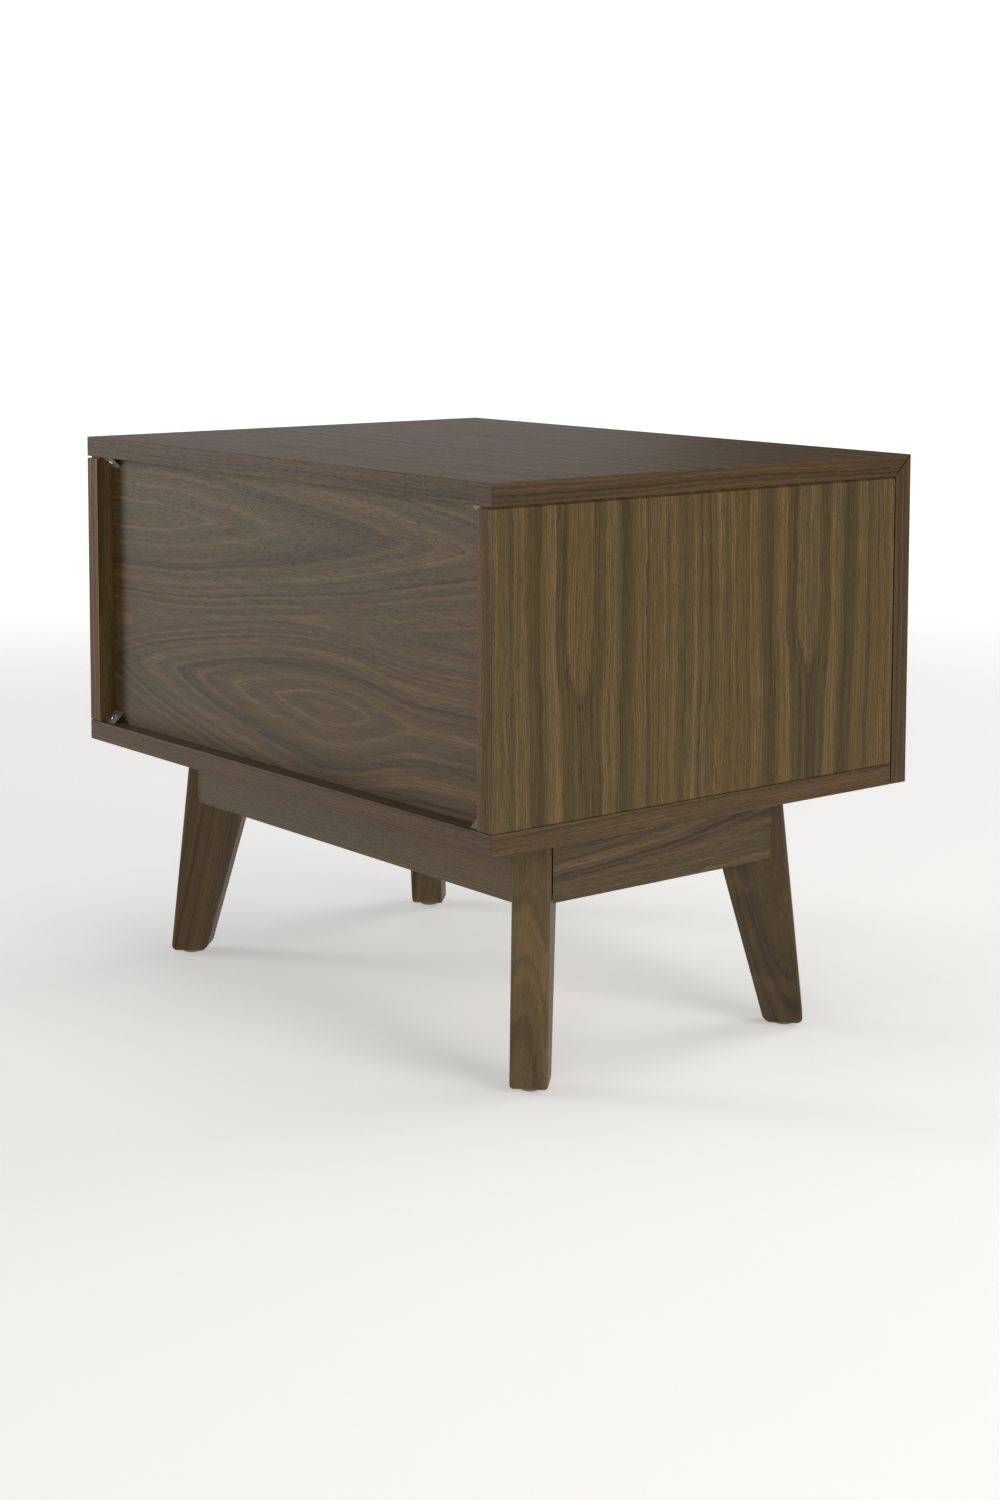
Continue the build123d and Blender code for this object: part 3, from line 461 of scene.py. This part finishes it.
# the back panel's eye: its axis below the panel's middle, the rings' spacing above and below this axis,
# where it begins to close at one end, how softly and at how many rings per metre, and where and how deep it
# closes at the other end
EYE_DROP = 0.062
EYE_SPACING = (0.0085, 0.0120)
EYE_CLOSES_AT, EYE_CLOSES_OVER, EYE_CLOSING_RATE = 0.058, 0.02, 19.0
EYE_TAIL, EYE_TAIL_DEPTH = (-0.045, -0.200), 2.6

# its upper tongues: their axis above the panel's middle, its slope and where it has this height, the rings'
# spacing, where they close and at how many rings per metre, their least depth and how softly it is reached
TONGUE_RISE, TONGUE_SLOPE, TONGUE_LEVEL = 0.085, 0.02, 0.25
TONGUE_SPACING = 0.0115
TONGUE_CLOSES_AT, TONGUE_CLOSING_RATE = 0.235, 11.0
TONGUE_LEAST_DEPTH, TONGUE_CLOSES_OVER = 0.4, 0.8

FIGURES_MEET_OVER = 2.5
BACK_RING_RATE = 1.7


def rings_from(graph, side, depth, shape):
    """Rings cut at a slant, from their distance to the leaf's axis and the depth of the cut. shape is 2 for
    round tongues, and less for pointed ones."""
    sides = graph.math("POWER", graph.math("ABSOLUTE", side), shape)
    depths = graph.math("POWER", graph.math("ABSOLUTE", depth), shape)
    return graph.math("POWER", graph.add(sides, depths), 1 / shape)


def leaves(offset, leaf, axis, spacing, ends, depths):
    """Flat-cut leaves of one width laid side by side, each with the same tongue in it."""

    def figure(graph, along, across):
        depth = graph.smooth(along, *ends, *depths)
        slid = graph.math("WRAP", graph.less(offset, across), leaf, 0.0)
        side = graph.divide(graph.less(slid, axis), spacing)
        return rings_from(graph, side, depth, ROUND_TONGUE)

    return figure


def straight(spacing):
    """Quarter-cut veneer, with straight rings."""
    return lambda graph, along, across: graph.divide(across, spacing)


def cathedral(graph, along, across):
    """The back panel's veneer: tongues in its upper part and an eye in its lower part."""
    above_eye, below_eye = EYE_SPACING
    from_eye = graph.add(across, EYE_DROP)
    eye_side = graph.largest(graph.times(from_eye, -1 / below_eye), graph.times(from_eye, 1 / above_eye))
    past_eye = graph.math("SMOOTH_MAX", graph.add(along, EYE_CLOSES_AT), 0.0, EYE_CLOSES_OVER)
    tail = graph.smooth(along, *EYE_TAIL, 0.0, EYE_TAIL_DEPTH)
    eye_depth = graph.add(graph.times(past_eye, EYE_CLOSING_RATE), tail)
    eye = rings_from(graph, eye_side, eye_depth, POINTED_TONGUE)

    slope = graph.times(graph.add(along, TONGUE_LEVEL), TONGUE_SLOPE)
    tongue_side = graph.times(graph.add(graph.less(across, TONGUE_RISE), slope), 1 / TONGUE_SPACING)
    tongue_depth = graph.times(graph.less(TONGUE_CLOSES_AT, along), TONGUE_CLOSING_RATE)
    tongue_depth = graph.math("SMOOTH_MAX", tongue_depth, TONGUE_LEAST_DEPTH, TONGUE_CLOSES_OVER)
    tongues = rings_from(graph, tongue_side, tongue_depth, POINTED_TONGUE)
    return graph.times(graph.math("SMOOTH_MIN", eye, tongues, FIGURES_MEET_OVER), BACK_RING_RATE)


# ---------------------------------------------------------------------------------------------
# Veneered boards
# ---------------------------------------------------------------------------------------------
# which axis the grain follows on the surfaces that look along each axis
LENGTHWISE = {"x": "y", "y": "x", "z": "x"}
UPRIGHT = {"x": "z", "y": "z", "z": "y"}
FRONT_GRAIN = {"x": "z", "y": "x", "z": "x"}
FRONT_TO_BACK = {"x": "y", "y": "x", "z": "y"}

TOP_LOOK = {
    "contrast": 1.5,
    "streaks": 0.3,
    "fibres": 0.12,
    "pores": 0.4,
    "gloss": 0.32,
    "edge_shade": 0.58,
}
BOTTOM_LOOK = {"edge_shade": 0.68}
SIDE_LOOK = {
    "amber": 0.05,
    "contrast": 0.9,
    "calm": 3.6,
    "stripes": (
        (3.4, 0.25, 0.40),
        (5.3, 0.9, 0.42),
        (8.2, 0.8, -0.22),
        (11.4, 1.6, 0.58),
        (14.6, 0.7, -0.25),
        (17.0, 0.5, 0.38),
        (23.5, 0.5, -0.45),
        (26.0, 1.2, 0.30),
    ),
    "fibres": 0.24,
    "fibre_rate": 40.0,
    "streaks": 0.42,
    "stray": 0.014,
    "gloss": 0.22,
    "edge_shade": 1.1,
}
BACK_LOOK = {
    "amber": 0.6,
    "contrast": 0.8,
    "pores": 0.35,
    "fibres": 0.18,
    "fibre_rate": 40.0,
    "streaks": 0.28,
    "grey": 0.8,
    "shade": 0.91,
}
FRONT_LOOK = {
    "contrast": 0.9,
    "amber": 0.35,
    "fibres": 0.2,
    "fibre_rate": 30.0,
    "edge_shade": 0.56,
}
APRON_LOOK = {
    "amber": 0.15,
    "contrast": 0.75,
    "streaks": 0.3,
    "fibres": 0.18,
    "fibre_rate": 30.0,
    "grey": 0.8,
    "shade": 0.92,
}
SIDE_APRON_LOOK = {**APRON_LOOK, "amber": 0.35, "contrast": 1.1, "grey": 0.3, "shade": 0.77}

BOTTOM_SPACING = 0.004
APRON_SPACING = 0.0034
APRON_SEED, APRON_SEED_STEP = 23.1, 3.7

# node: material, axis that its faces look along, grain, figure, seed, look. leaves() takes the place across
# the board where the first leaf ends.
CABINET_BOARDS = {
    "top_panel": ("walnut_top", "z", LENGTHWISE, leaves(0.25, **LONG_LEAVES), 1.3, TOP_LOOK),
    "bottom_panel": ("walnut_bottom", "z", LENGTHWISE, straight(BOTTOM_SPACING), 2.7, BOTTOM_LOOK),
    "back_panel": ("walnut_back", "y", LENGTHWISE, cathedral, 7.7, BACK_LOOK),
    "drawer_front": ("walnut_front", "y", FRONT_GRAIN, leaves(0.40, **LONG_LEAVES), 8.3, FRONT_LOOK),
}
# node: where its first leaf ends, seed
SIDE_BOARDS = {"left_side_panel": (0.22, 4.1), "right_side_panel": (0.33, 5.9)}
# node: axis that its faces look along, grain, figure, look
APRONS = {
    "apron_back": ("y", LENGTHWISE, straight(APRON_SPACING), APRON_LOOK),
    "apron_front": ("y", LENGTHWISE, straight(APRON_SPACING), APRON_LOOK),
    "apron_left": ("x", FRONT_TO_BACK, leaves(0.14, **APRON_LEAVES), SIDE_APRON_LOOK),
    "apron_right": ("x", FRONT_TO_BACK, leaves(0.16, **APRON_LEAVES), SIDE_APRON_LOOK),
}


def dress_boards():
    for node, (name, *rest) in CABINET_BOARDS.items():
        give(walnut_board(name, node, *rest), node)
    for node, (offset, seed) in SIDE_BOARDS.items():
        figure = leaves(offset, **SIDE_LEAVES)
        give(walnut_board(f"walnut_{node}", node, "x", UPRIGHT, figure, seed, SIDE_LOOK), node)
    for number, (node, (face, grain, figure, look)) in enumerate(APRONS.items()):
        seed = APRON_SEED + APRON_SEED_STEP * number
        give(walnut_board(f"walnut_{node}", node, face, grain, figure, seed, look), node)


# ---------------------------------------------------------------------------------------------
# Solid walnut legs
# ---------------------------------------------------------------------------------------------
LEG_LEAN = 0.19
LEG_SPACING = 0.0034
LEG_LOOK = {
    "contrast": 0.8,
    "amber": 0.12,
    "fibres": 0.09,
    "fibre_rate": 30.0,
    "streaks": 0.3,
    "pores": 0.22,
    "gloss": 0.32,
}
LEG_SEED, LEG_SEED_STEP = 11.3, 2.9

# how flat the arcs on a leg's narrow faces are, against true circles
FLAT_ARCS = 0.45
# how far the pattern of the broad faces slides over the leg's thickness
SLIDE_THROUGH = 0.8
# pale patches where the leg is rubbed
RUB_RATE, RUB_SHOWS, RUB_SHARE = 35.0, (0.5, 0.75), 0.25

# how the rings lie in each leg: the place of their heart beside the board, its bow along the leg, the faces
# that show arcs, how bright the leg is drawn and its dark rings. This brightness is the wood's tone together
# with painted shade, strongest on leg_front_left, which is drawn much darker for the shade it stands in.
LEGS = {
    "leg_back_left": {
        "heart": (0.003, 0.023),
        "bow": -0.016,
        "arcs_on": "narrow",
        "shade": 1.04,
        "stripes": ((4.3, 0.13, 0.5), (3.35, 0.13, 0.5), (2.25, 0.15, 0.5)),
    },
    "leg_back_right": {
        "heart": (0.060, 0.012),
        "bow": 0.03,
        "arcs_on": "broad",
        "shade": 0.92,
        "stripes": ((14.0, 0.5, 0.4), (19.5, 0.4, 0.4)),
    },
    "leg_front_left": {
        "heart": (0.022, 0.034),
        "bow": 0.13,
        "arcs_on": "broad",
        # painted shade: this leg is drawn darker than the others to stand for the shade it stands in
        "shade": 0.63,
        "stripes": ((9.0, 0.35, 0.75), (11.0, 0.3, 0.75), (13.5, 0.4, 0.75)),
    },
    "leg_front_right": {
        "heart": (0.010, 0.030),
        "bow": -0.10,
        "arcs_on": "broad",
        "shade": 0.9,
        "stripes": ((9.0, 0.2, 0.4), (12.0, 0.2, 0.4)),
    },
}


def leg_axes(node):
    """A leg's own directions, along it, across its board and through its thickness, and its middle."""
    low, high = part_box(node)
    side_x = math.copysign(1, low.x + high.x)
    side_y = math.copysign(1, low.y + high.y)
    outward = Vector((side_x, side_y, 0)).normalized()
    along = (Vector((0, 0, -1)) + outward * LEG_LEAN).normalized()
    through = Vector((-side_y, side_x, 0)).normalized()
    return (along, through.cross(along), through), (low + high) / 2


def measured(graph, direction, origin):
    """How far a point lies from the origin in a direction."""
    parts = zip(graph.along_axes, origin, direction)
    return graph.add(*(graph.times(graph.less(place, start), share) for place, start, share in parts))


def walnut_leg(node, seed, heart, bow, arcs_on, shade, stripes):
    """Solid walnut along the leg. Its rings are centred on a heart beside the board, which bows away along
    it, so that they show as arcs on the broad faces or on the narrow ones."""
    look = SimpleNamespace(**{**WALNUT, **LEG_LOOK, "shade": shade, "stripes": stripes})
    graph = Graph(f"walnut_{node}")
    directions, middle = leg_axes(node)
    along, across, through = (measured(graph, direction, middle) for direction in directions)
    stray = wandering(graph, along, across, look.stray, seed)
    side, depth = across, through
    if arcs_on == "narrow":
        side, depth = graph.times(through, FLAT_ARCS), across
    side = graph.add(side, stray, heart[0])
    depth = graph.add(depth, graph.times(along, bow), heart[1])
    rings = graph.times(rings_from(graph, side, depth, ROUND_TONGUE), 1 / LEG_SPACING)
    spread = graph.add(across, graph.times(through, SLIDE_THROUGH), stray)
    colour, roughness, height = walnut_look(graph, along, spread, rings, seed, look)
    rubbed = graph.smooth(graph.noise(graph.place, scale=RUB_RATE, detail=3.0), *RUB_SHOWS)
    colour = graph.mix(graph.times(rubbed, RUB_SHARE), colour, WALNUT_LIGHT)
    return graph.finish(colour, roughness, height, constants={"Specular IOR Level": look.gloss})


def dress_legs():
    for number, (node, leg) in enumerate(LEGS.items()):
        give(walnut_leg(node, LEG_SEED + LEG_SEED_STEP * number, **leg), node)


# ---------------------------------------------------------------------------------------------
# Birch plywood and beech
# ---------------------------------------------------------------------------------------------
BIRCH_PALE = paint(214, 188, 150)
BIRCH_DEEP = paint(190, 156, 112)
BIRCH_FLECK = paint(160, 122, 82)
BIRCH_STRAY = 0.016
BIRCH_FIGURE, FIGURE_SHOWS = (2.2, 38.0, 0.0), (0.35, 0.68)
BIRCH_FIBRES, FIBRES_SHOW, FIBRE_SHADES = (30.0, 900.0, 0.0), (0.3, 0.7), (0.90, 1.07)
BIRCH_FLECKS, FLECKS_SHOW, FLECK_SHARE = (160.0, 1100.0, 0.0), (0.63, 0.72), 0.45
BIRCH_CORNERS = 0.25
BIRCH_ROUGHNESS, BIRCH_FIBRE_ROUGHNESS, BIRCH_FIBRE_HEIGHT, BIRCH_GLOSS = 0.44, 0.12, 0.3, 0.35

# the plywood's layers are counted from well below the board
PLY_LAYER = 0.0015
LAYERS_BELOW = 50.0
PLY_GLUE = paint(112, 80, 50)
GLUE_WIDTH, GLUE_SHARE, GLUE_DEPTH = 0.08, 0.8, 0.6
END_GRAIN_RATE, END_GRAIN_SHOWS, END_GRAIN_SHARE = 1700.0, (0.5, 0.7), 0.5
PLY_SEED, PLY_SEED_STEP = 3.0, 5.1

# node: axis that its faces look along, grain
PLIES = {
    "drawer_box_front": ("y", LENGTHWISE),
    "drawer_back": ("y", LENGTHWISE),
    "drawer_side_left": ("x", {**LENGTHWISE, "y": "z", "z": "y"}),
    "drawer_side_right": ("x", {**LENGTHWISE, "y": "z", "z": "y"}),
    "drawer_bottom": ("z", LENGTHWISE),
}

BEECH_PALE = paint(206, 168, 124)
BEECH_DEEP = paint(182, 140, 98)
BEECH_RAY = paint(134, 92, 58)
RAY_RATE, RAYS_SHOW, RAY_SHARE = 900.0, (0.58, 0.70), 0.5
BEECH_TONE_RATE = 90.0
BEECH_ROUGHNESS, RAY_ROUGHNESS = 0.55, 0.15


def cut_layers(graph, height):
    """Plywood's cut edge: its layers in turn pale and end-grained, and how much glue a point is in."""
    layer = graph.divide(height, PLY_LAYER)
    odd = graph.math("GREATER_THAN", graph.math("WRAP", layer, 2.0, 0.0), 1.0)
    turn = graph.math("FRACT", graph.add(layer, LAYERS_BELOW))
    glue = graph.add(graph.hill(turn, 0.0, GLUE_WIDTH), graph.hill(turn, 1.0, GLUE_WIDTH))
    end_grain = graph.smooth(graph.noise(graph.place, scale=END_GRAIN_RATE, detail=1.0), *END_GRAIN_SHOWS)
    cut = graph.mix(odd, BIRCH_PALE, BIRCH_DEEP)
    cut = graph.mix(graph.times(odd, end_grain, END_GRAIN_SHARE), cut, BIRCH_FLECK)
    return graph.mix(graph.times(glue, GLUE_SHARE), cut, PLY_GLUE), glue


def birch_ply(node, face, grain, seed):
    """Birch plywood: calm, wide figure on the faces, and layers with thin glue lines on the edges."""
    graph = Graph(f"birch_{node}")
    local = from_middle(graph, node)
    along, across, on_face = surface_of_board(graph, local, face, grain)
    across = graph.add(across, wandering(graph, along, across, BIRCH_STRAY, seed))
    figure = graph.grain_noise(along, across, BIRCH_FIGURE, seed, detail=3.0)
    fibres = graph.grain_noise(along, across, BIRCH_FIBRES, seed, detail=2.0)
    flecks = graph.smooth(graph.grain_noise(along, across, BIRCH_FLECKS, seed, detail=1.0), *FLECKS_SHOW)
    colour = graph.mix(graph.smooth(figure, *FIGURE_SHOWS), BIRCH_PALE, BIRCH_DEEP)
    colour = graph.mix(graph.times(flecks, FLECK_SHARE), colour, BIRCH_FLECK)
    cut, glue = cut_layers(graph, local[face])
    colour = graph.mix(on_face, cut, colour)
    colour = graph.shaded(colour, graph.smooth(fibres, *FIBRES_SHOW, *FIBRE_SHADES))
    colour = graph.mix(graph.times(rounded_edge(graph), BIRCH_CORNERS), colour, BIRCH_DEEP)
    roughness = graph.add(BIRCH_ROUGHNESS, graph.times(fibres, BIRCH_FIBRE_ROUGHNESS))
    glue_groove = graph.times(glue, graph.less(1.0, on_face), GLUE_DEPTH)
    height = graph.less(graph.times(fibres, BIRCH_FIBRE_HEIGHT), glue_groove)
    return graph.finish(colour, roughness, height, constants={"Specular IOR Level": BIRCH_GLOSS})


def beech():
    """Beech dowels: straight, pale brown, with short dark flecks."""
    graph = Graph("beech")
    rays = graph.noise(graph.place, scale=RAY_RATE, detail=2.0)
    tone = graph.noise(graph.place, scale=BEECH_TONE_RATE, detail=2.0)
    colour = graph.mix(tone, BEECH_PALE, BEECH_DEEP)
    colour = graph.mix(graph.times(graph.smooth(rays, *RAYS_SHOW), RAY_SHARE), colour, BEECH_RAY)
    return graph.finish(colour, graph.add(BEECH_ROUGHNESS, graph.times(rays, RAY_ROUGHNESS)), rays)


def dress_drawer_box_and_dowels():
    for number, (node, (face, grain)) in enumerate(PLIES.items()):
        give(birch_ply(node, face, grain, PLY_SEED + PLY_SEED_STEP * number), node)
    give(beech(), "carcass_dowels", "leg_dowels")


# ---------------------------------------------------------------------------------------------
# Metals and plastics
# ---------------------------------------------------------------------------------------------
WEDGES = each("back_wedge_{}_{}", ("upper", "lower"), SIDES)
WEDGE_EDGE = 0.0005
SCREWS = each("{}_screws", ("back_wedge", "brace", "base", "drawer_box", "drawer_front", "latch"))
SCREWS += each("runner_{}_screws", ("cabinet", "drawer"))
BOLTS = ["hanger_bolts", "hanger_nuts", "glide_nails", "cam_bolts"]
MEMBERS = each("runner_{}_member_{}", ("cabinet", "middle", "drawer"), SIDES)
BRACES = each("corner_brace_{}_{}", ENDS, SIDES)
GLIDES = each("foot_glide_{}_{}", ENDS, SIDES)

# what all metals show: their marks, a film of grease and dark specks, each with how much it dulls the metal
MARKS_SHOW, MARKS_DULL = (0.3, 0.7), 0.10
FILM_RATE, FILM_DULLS = 45.0, 0.16
SPECK, SPECK_RATE = paint(88, 84, 78), 600.0
SPECKS_SHOW, SPECK_SHARE, SPECKS_DULL = (0.62, 0.74), 0.35, 0.15

# what all plastics show: spark-eroded grit, clouds from the mould's flow, rubbing marks and pale corners
GRIT_RATE, GRIT_ROUGHNESS = 2600.0, 0.15
FLOW_RATE, FLOW_SHOWS = 70.0, (0.3, 0.7)
RUB_MARKS, RUB_MARKS_SHOW, RUB_MARK_SHARE = (900.0, 90.0), (0.62, 0.74), 0.25
PALE_CORNERS = 0.3

# material: light and dark colour, roughness, marks per metre along x, y and z, how metallic, nodes
METALS = {
    "cast_zinc": (
        paint(182, 182, 180), paint(138, 138, 138), 0.26, (240.0, 240.0, 240.0), 1.0, ["cam_locks"]
    ),
    "plated_wedges": (
        paint(180, 179, 170), paint(150, 149, 141), 0.30, (240.0, 240.0, 240.0), 0.6, WEDGES
    ),
    "plated_screws": (
        paint(206, 204, 198), paint(168, 166, 160), 0.16, (900.0, 900.0, 900.0), 1.0, SCREWS + BOLTS
    ),
    "drawn_steel": (
        paint(196, 199, 201), paint(160, 163, 166), 0.22, (1400.0, 12.0, 1400.0), 1.0, MEMBERS
    ),
    "pressed_cage": (
        paint(172, 170, 160), paint(136, 134, 126), 0.30, (500.0, 60.0, 500.0), 1.0,
        each("runner_{}_ball_cages", RACES),
    ),
    "bearing_balls": (
        paint(214, 214, 214), paint(190, 190, 192), 0.06, (300.0, 300.0, 300.0), 1.0,
        each("runner_{}_balls", RACES),
    ),
    "brace_steel": (
        paint(178, 180, 180), paint(140, 142, 144), 0.30, (160.0, 160.0, 900.0), 1.0,
        ["latch_strike", *BRACES],
    ),
    "spring_wire": (
        paint(190, 188, 182), paint(150, 148, 144), 0.24, (700.0, 700.0, 700.0), 1.0, ["latch_spring"]
    ),
}
# material: light and dark colour, roughness, nodes
PLASTICS = {
    "dark_plastic": (paint(124, 122, 116), paint(98, 96, 92), 0.42, GLIDES),
    "grey_plastic": (paint(196, 194, 188), paint(172, 170, 164), 0.38, ["latch_housing"]),
    "pale_plastic": (paint(226, 224, 216), paint(206, 203, 194), 0.34, ["latch_plunger"]),
}


def metal(name, light, dark, roughness, marks_rate, metallic):
    """Metal with a worked surface: marks, a thin film of grease and a few dark specks."""
    graph = Graph(name)
    marks_place = graph.join(*(graph.times(place, rate) for place, rate in zip(graph.along_axes, marks_rate)))
    marks = graph.noise(marks_place, detail=3.0, roughness=0.6)
    film = graph.noise(graph.place, scale=FILM_RATE, detail=3.0)
    specks = graph.smooth(graph.noise(graph.place, scale=SPECK_RATE, detail=2.0), *SPECKS_SHOW)
    colour = graph.mix(graph.smooth(marks, *MARKS_SHOW), light, dark)
    colour = graph.mix(graph.times(specks, SPECK_SHARE), colour, SPECK)
    dulling = ((film, FILM_DULLS), (marks, MARKS_DULL), (specks, SPECKS_DULL))
    dull = graph.add(roughness, *(graph.times(pattern, share) for pattern, share in dulling))
    return graph.finish(colour, dull, marks, METAL_BUMP, {"Metallic": metallic})


def moulded(name, light, dark, roughness):
    """Moulded plastic: spark-eroded grain, flow clouding and fine rubbing marks."""
    graph = Graph(name)
    x, y, z = graph.along_axes
    grit = graph.noise(graph.place, scale=GRIT_RATE, detail=2.0)
    flow = graph.noise(graph.place, scale=FLOW_RATE, detail=3.0)
    rubs_place = graph.join(graph.times(x, RUB_MARKS[0]), graph.times(y, RUB_MARKS[1]), z)
    rubs = graph.smooth(graph.noise(rubs_place, detail=2.0), *RUB_MARKS_SHOW)
    colour = graph.mix(graph.smooth(flow, *FLOW_SHOWS), light, dark)
    colour = graph.mix(graph.times(rubs, RUB_MARK_SHARE), colour, light)
    colour = graph.mix(graph.times(rounded_edge(graph), PALE_CORNERS), colour, light)
    return graph.finish(colour, graph.add(roughness, graph.times(grit, GRIT_ROUGHNESS)), grit, PLASTIC_BUMP)


def ease_edges(node, radius):
    """Rounds a CAD node's sharp edges a little, so that they catch the light."""
    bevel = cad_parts[node].modifiers.new("eased_edges", "BEVEL")
    bevel.width = radius
    bevel.segments = 2
    bevel.limit_method = "ANGLE"
    bevel.harden_normals = False


def dress_fittings():
    for name, (*looks, nodes) in METALS.items():
        give(metal(name, *looks), *nodes)
    for name, (*looks, nodes) in PLASTICS.items():
        give(moulded(name, *looks), *nodes)
    for wedge in WEDGES:
        ease_edges(wedge, WEDGE_EDGE)


# ---------------------------------------------------------------------------------------------
# Stage, light and camera
# ---------------------------------------------------------------------------------------------
def make_floor():
    mesh = bpy.data.meshes.new("floor")
    corners = [(x, y, 0.0) for x, y in ((-1, -1), (1, -1), (1, 1), (-1, 1))]
    mesh.from_pydata([(x * FLOOR_HALF, y * FLOOR_HALF, z) for x, y, z in corners], [], [(0, 1, 2, 3)])
    floor = bpy.data.objects.new("floor", mesh)
    bpy.context.scene.collection.objects.link(floor)
    graph = Graph("floor_paper")
    colour = graph.mix(graph.noise(graph.place, scale=FLOOR_MOTTLES, detail=2.0), *FLOOR_PAPER)
    x, y, _ = graph.along_axes
    distance = graph.math("SQRT", graph.add(graph.times(x, x), graph.times(y, y)))
    graph.feed(graph.shader.inputs["Alpha"], graph.smooth(distance, FLOOR_FADES_TO, FLOOR_FADES_FROM))
    floor.data.materials.append(graph.finish(colour, FLOOR_ROUGHNESS, constants=FLOOR_SHADER))


def make_world():
    """A dim white room that the camera sees as bright white."""
    world = bpy.data.worlds.new("studio")
    bpy.context.scene.world = world
    world.use_nodes = True
    tree = world.node_tree
    background = tree.nodes["Background"]
    path = tree.nodes.new("ShaderNodeLightPath")
    strength = tree.nodes.new("ShaderNodeMapRange")
    strength.inputs["To Min"].default_value = STUDIO_WHITE
    strength.inputs["To Max"].default_value = BACKGROUND_WHITE
    tree.links.new(path.outputs["Is Camera Ray"], strength.inputs["Value"])
    tree.links.new(strength.outputs[0], background.inputs["Strength"])
    background.inputs["Color"].default_value = WHITE


def make_lights():
    for name, (place, size, power, colour) in LIGHTS.items():
        light = bpy.data.lights.new(name, "AREA")
        light.size = size
        light.energy = power
        light.color = colour
        lamp = bpy.data.objects.new(name, light)
        lamp.location = place
        lamp.rotation_euler = (LIGHT_TARGET - Vector(place)).to_track_quat("-Z", "Y").to_euler()
        lamp.visible_camera = False
        bpy.context.scene.collection.objects.link(lamp)


def make_camera():
    yaw, pitch, roll = (math.radians(angle) for angle in (CAMERA_YAW, CAMERA_PITCH, CAMERA_ROLL))
    forward = Vector((math.cos(pitch) * math.cos(yaw), math.cos(pitch) * math.sin(yaw), math.sin(pitch)))
    level = forward.cross(Vector((0, 0, 1))).normalized()
    right = Matrix.Rotation(-roll, 3, forward) @ level
    up = right.cross(forward)
    camera = bpy.data.objects.new("camera", bpy.data.cameras.new("camera"))
    turned = Matrix((right, up, -forward)).transposed().to_4x4()
    camera.matrix_world = Matrix.Translation(CAMERA_PLACE) @ turned
    camera.data.lens = LENS
    camera.data.shift_y = -SHIFT_DOWN
    bpy.context.scene.collection.objects.link(camera)
    bpy.context.scene.camera = camera


bpy.context.scene.view_settings.view_transform = "Standard"
make_camera()
make_world()
make_lights()
make_floor()
dress_boards()
dress_legs()
dress_drawer_box_and_dowels()
dress_fittings()
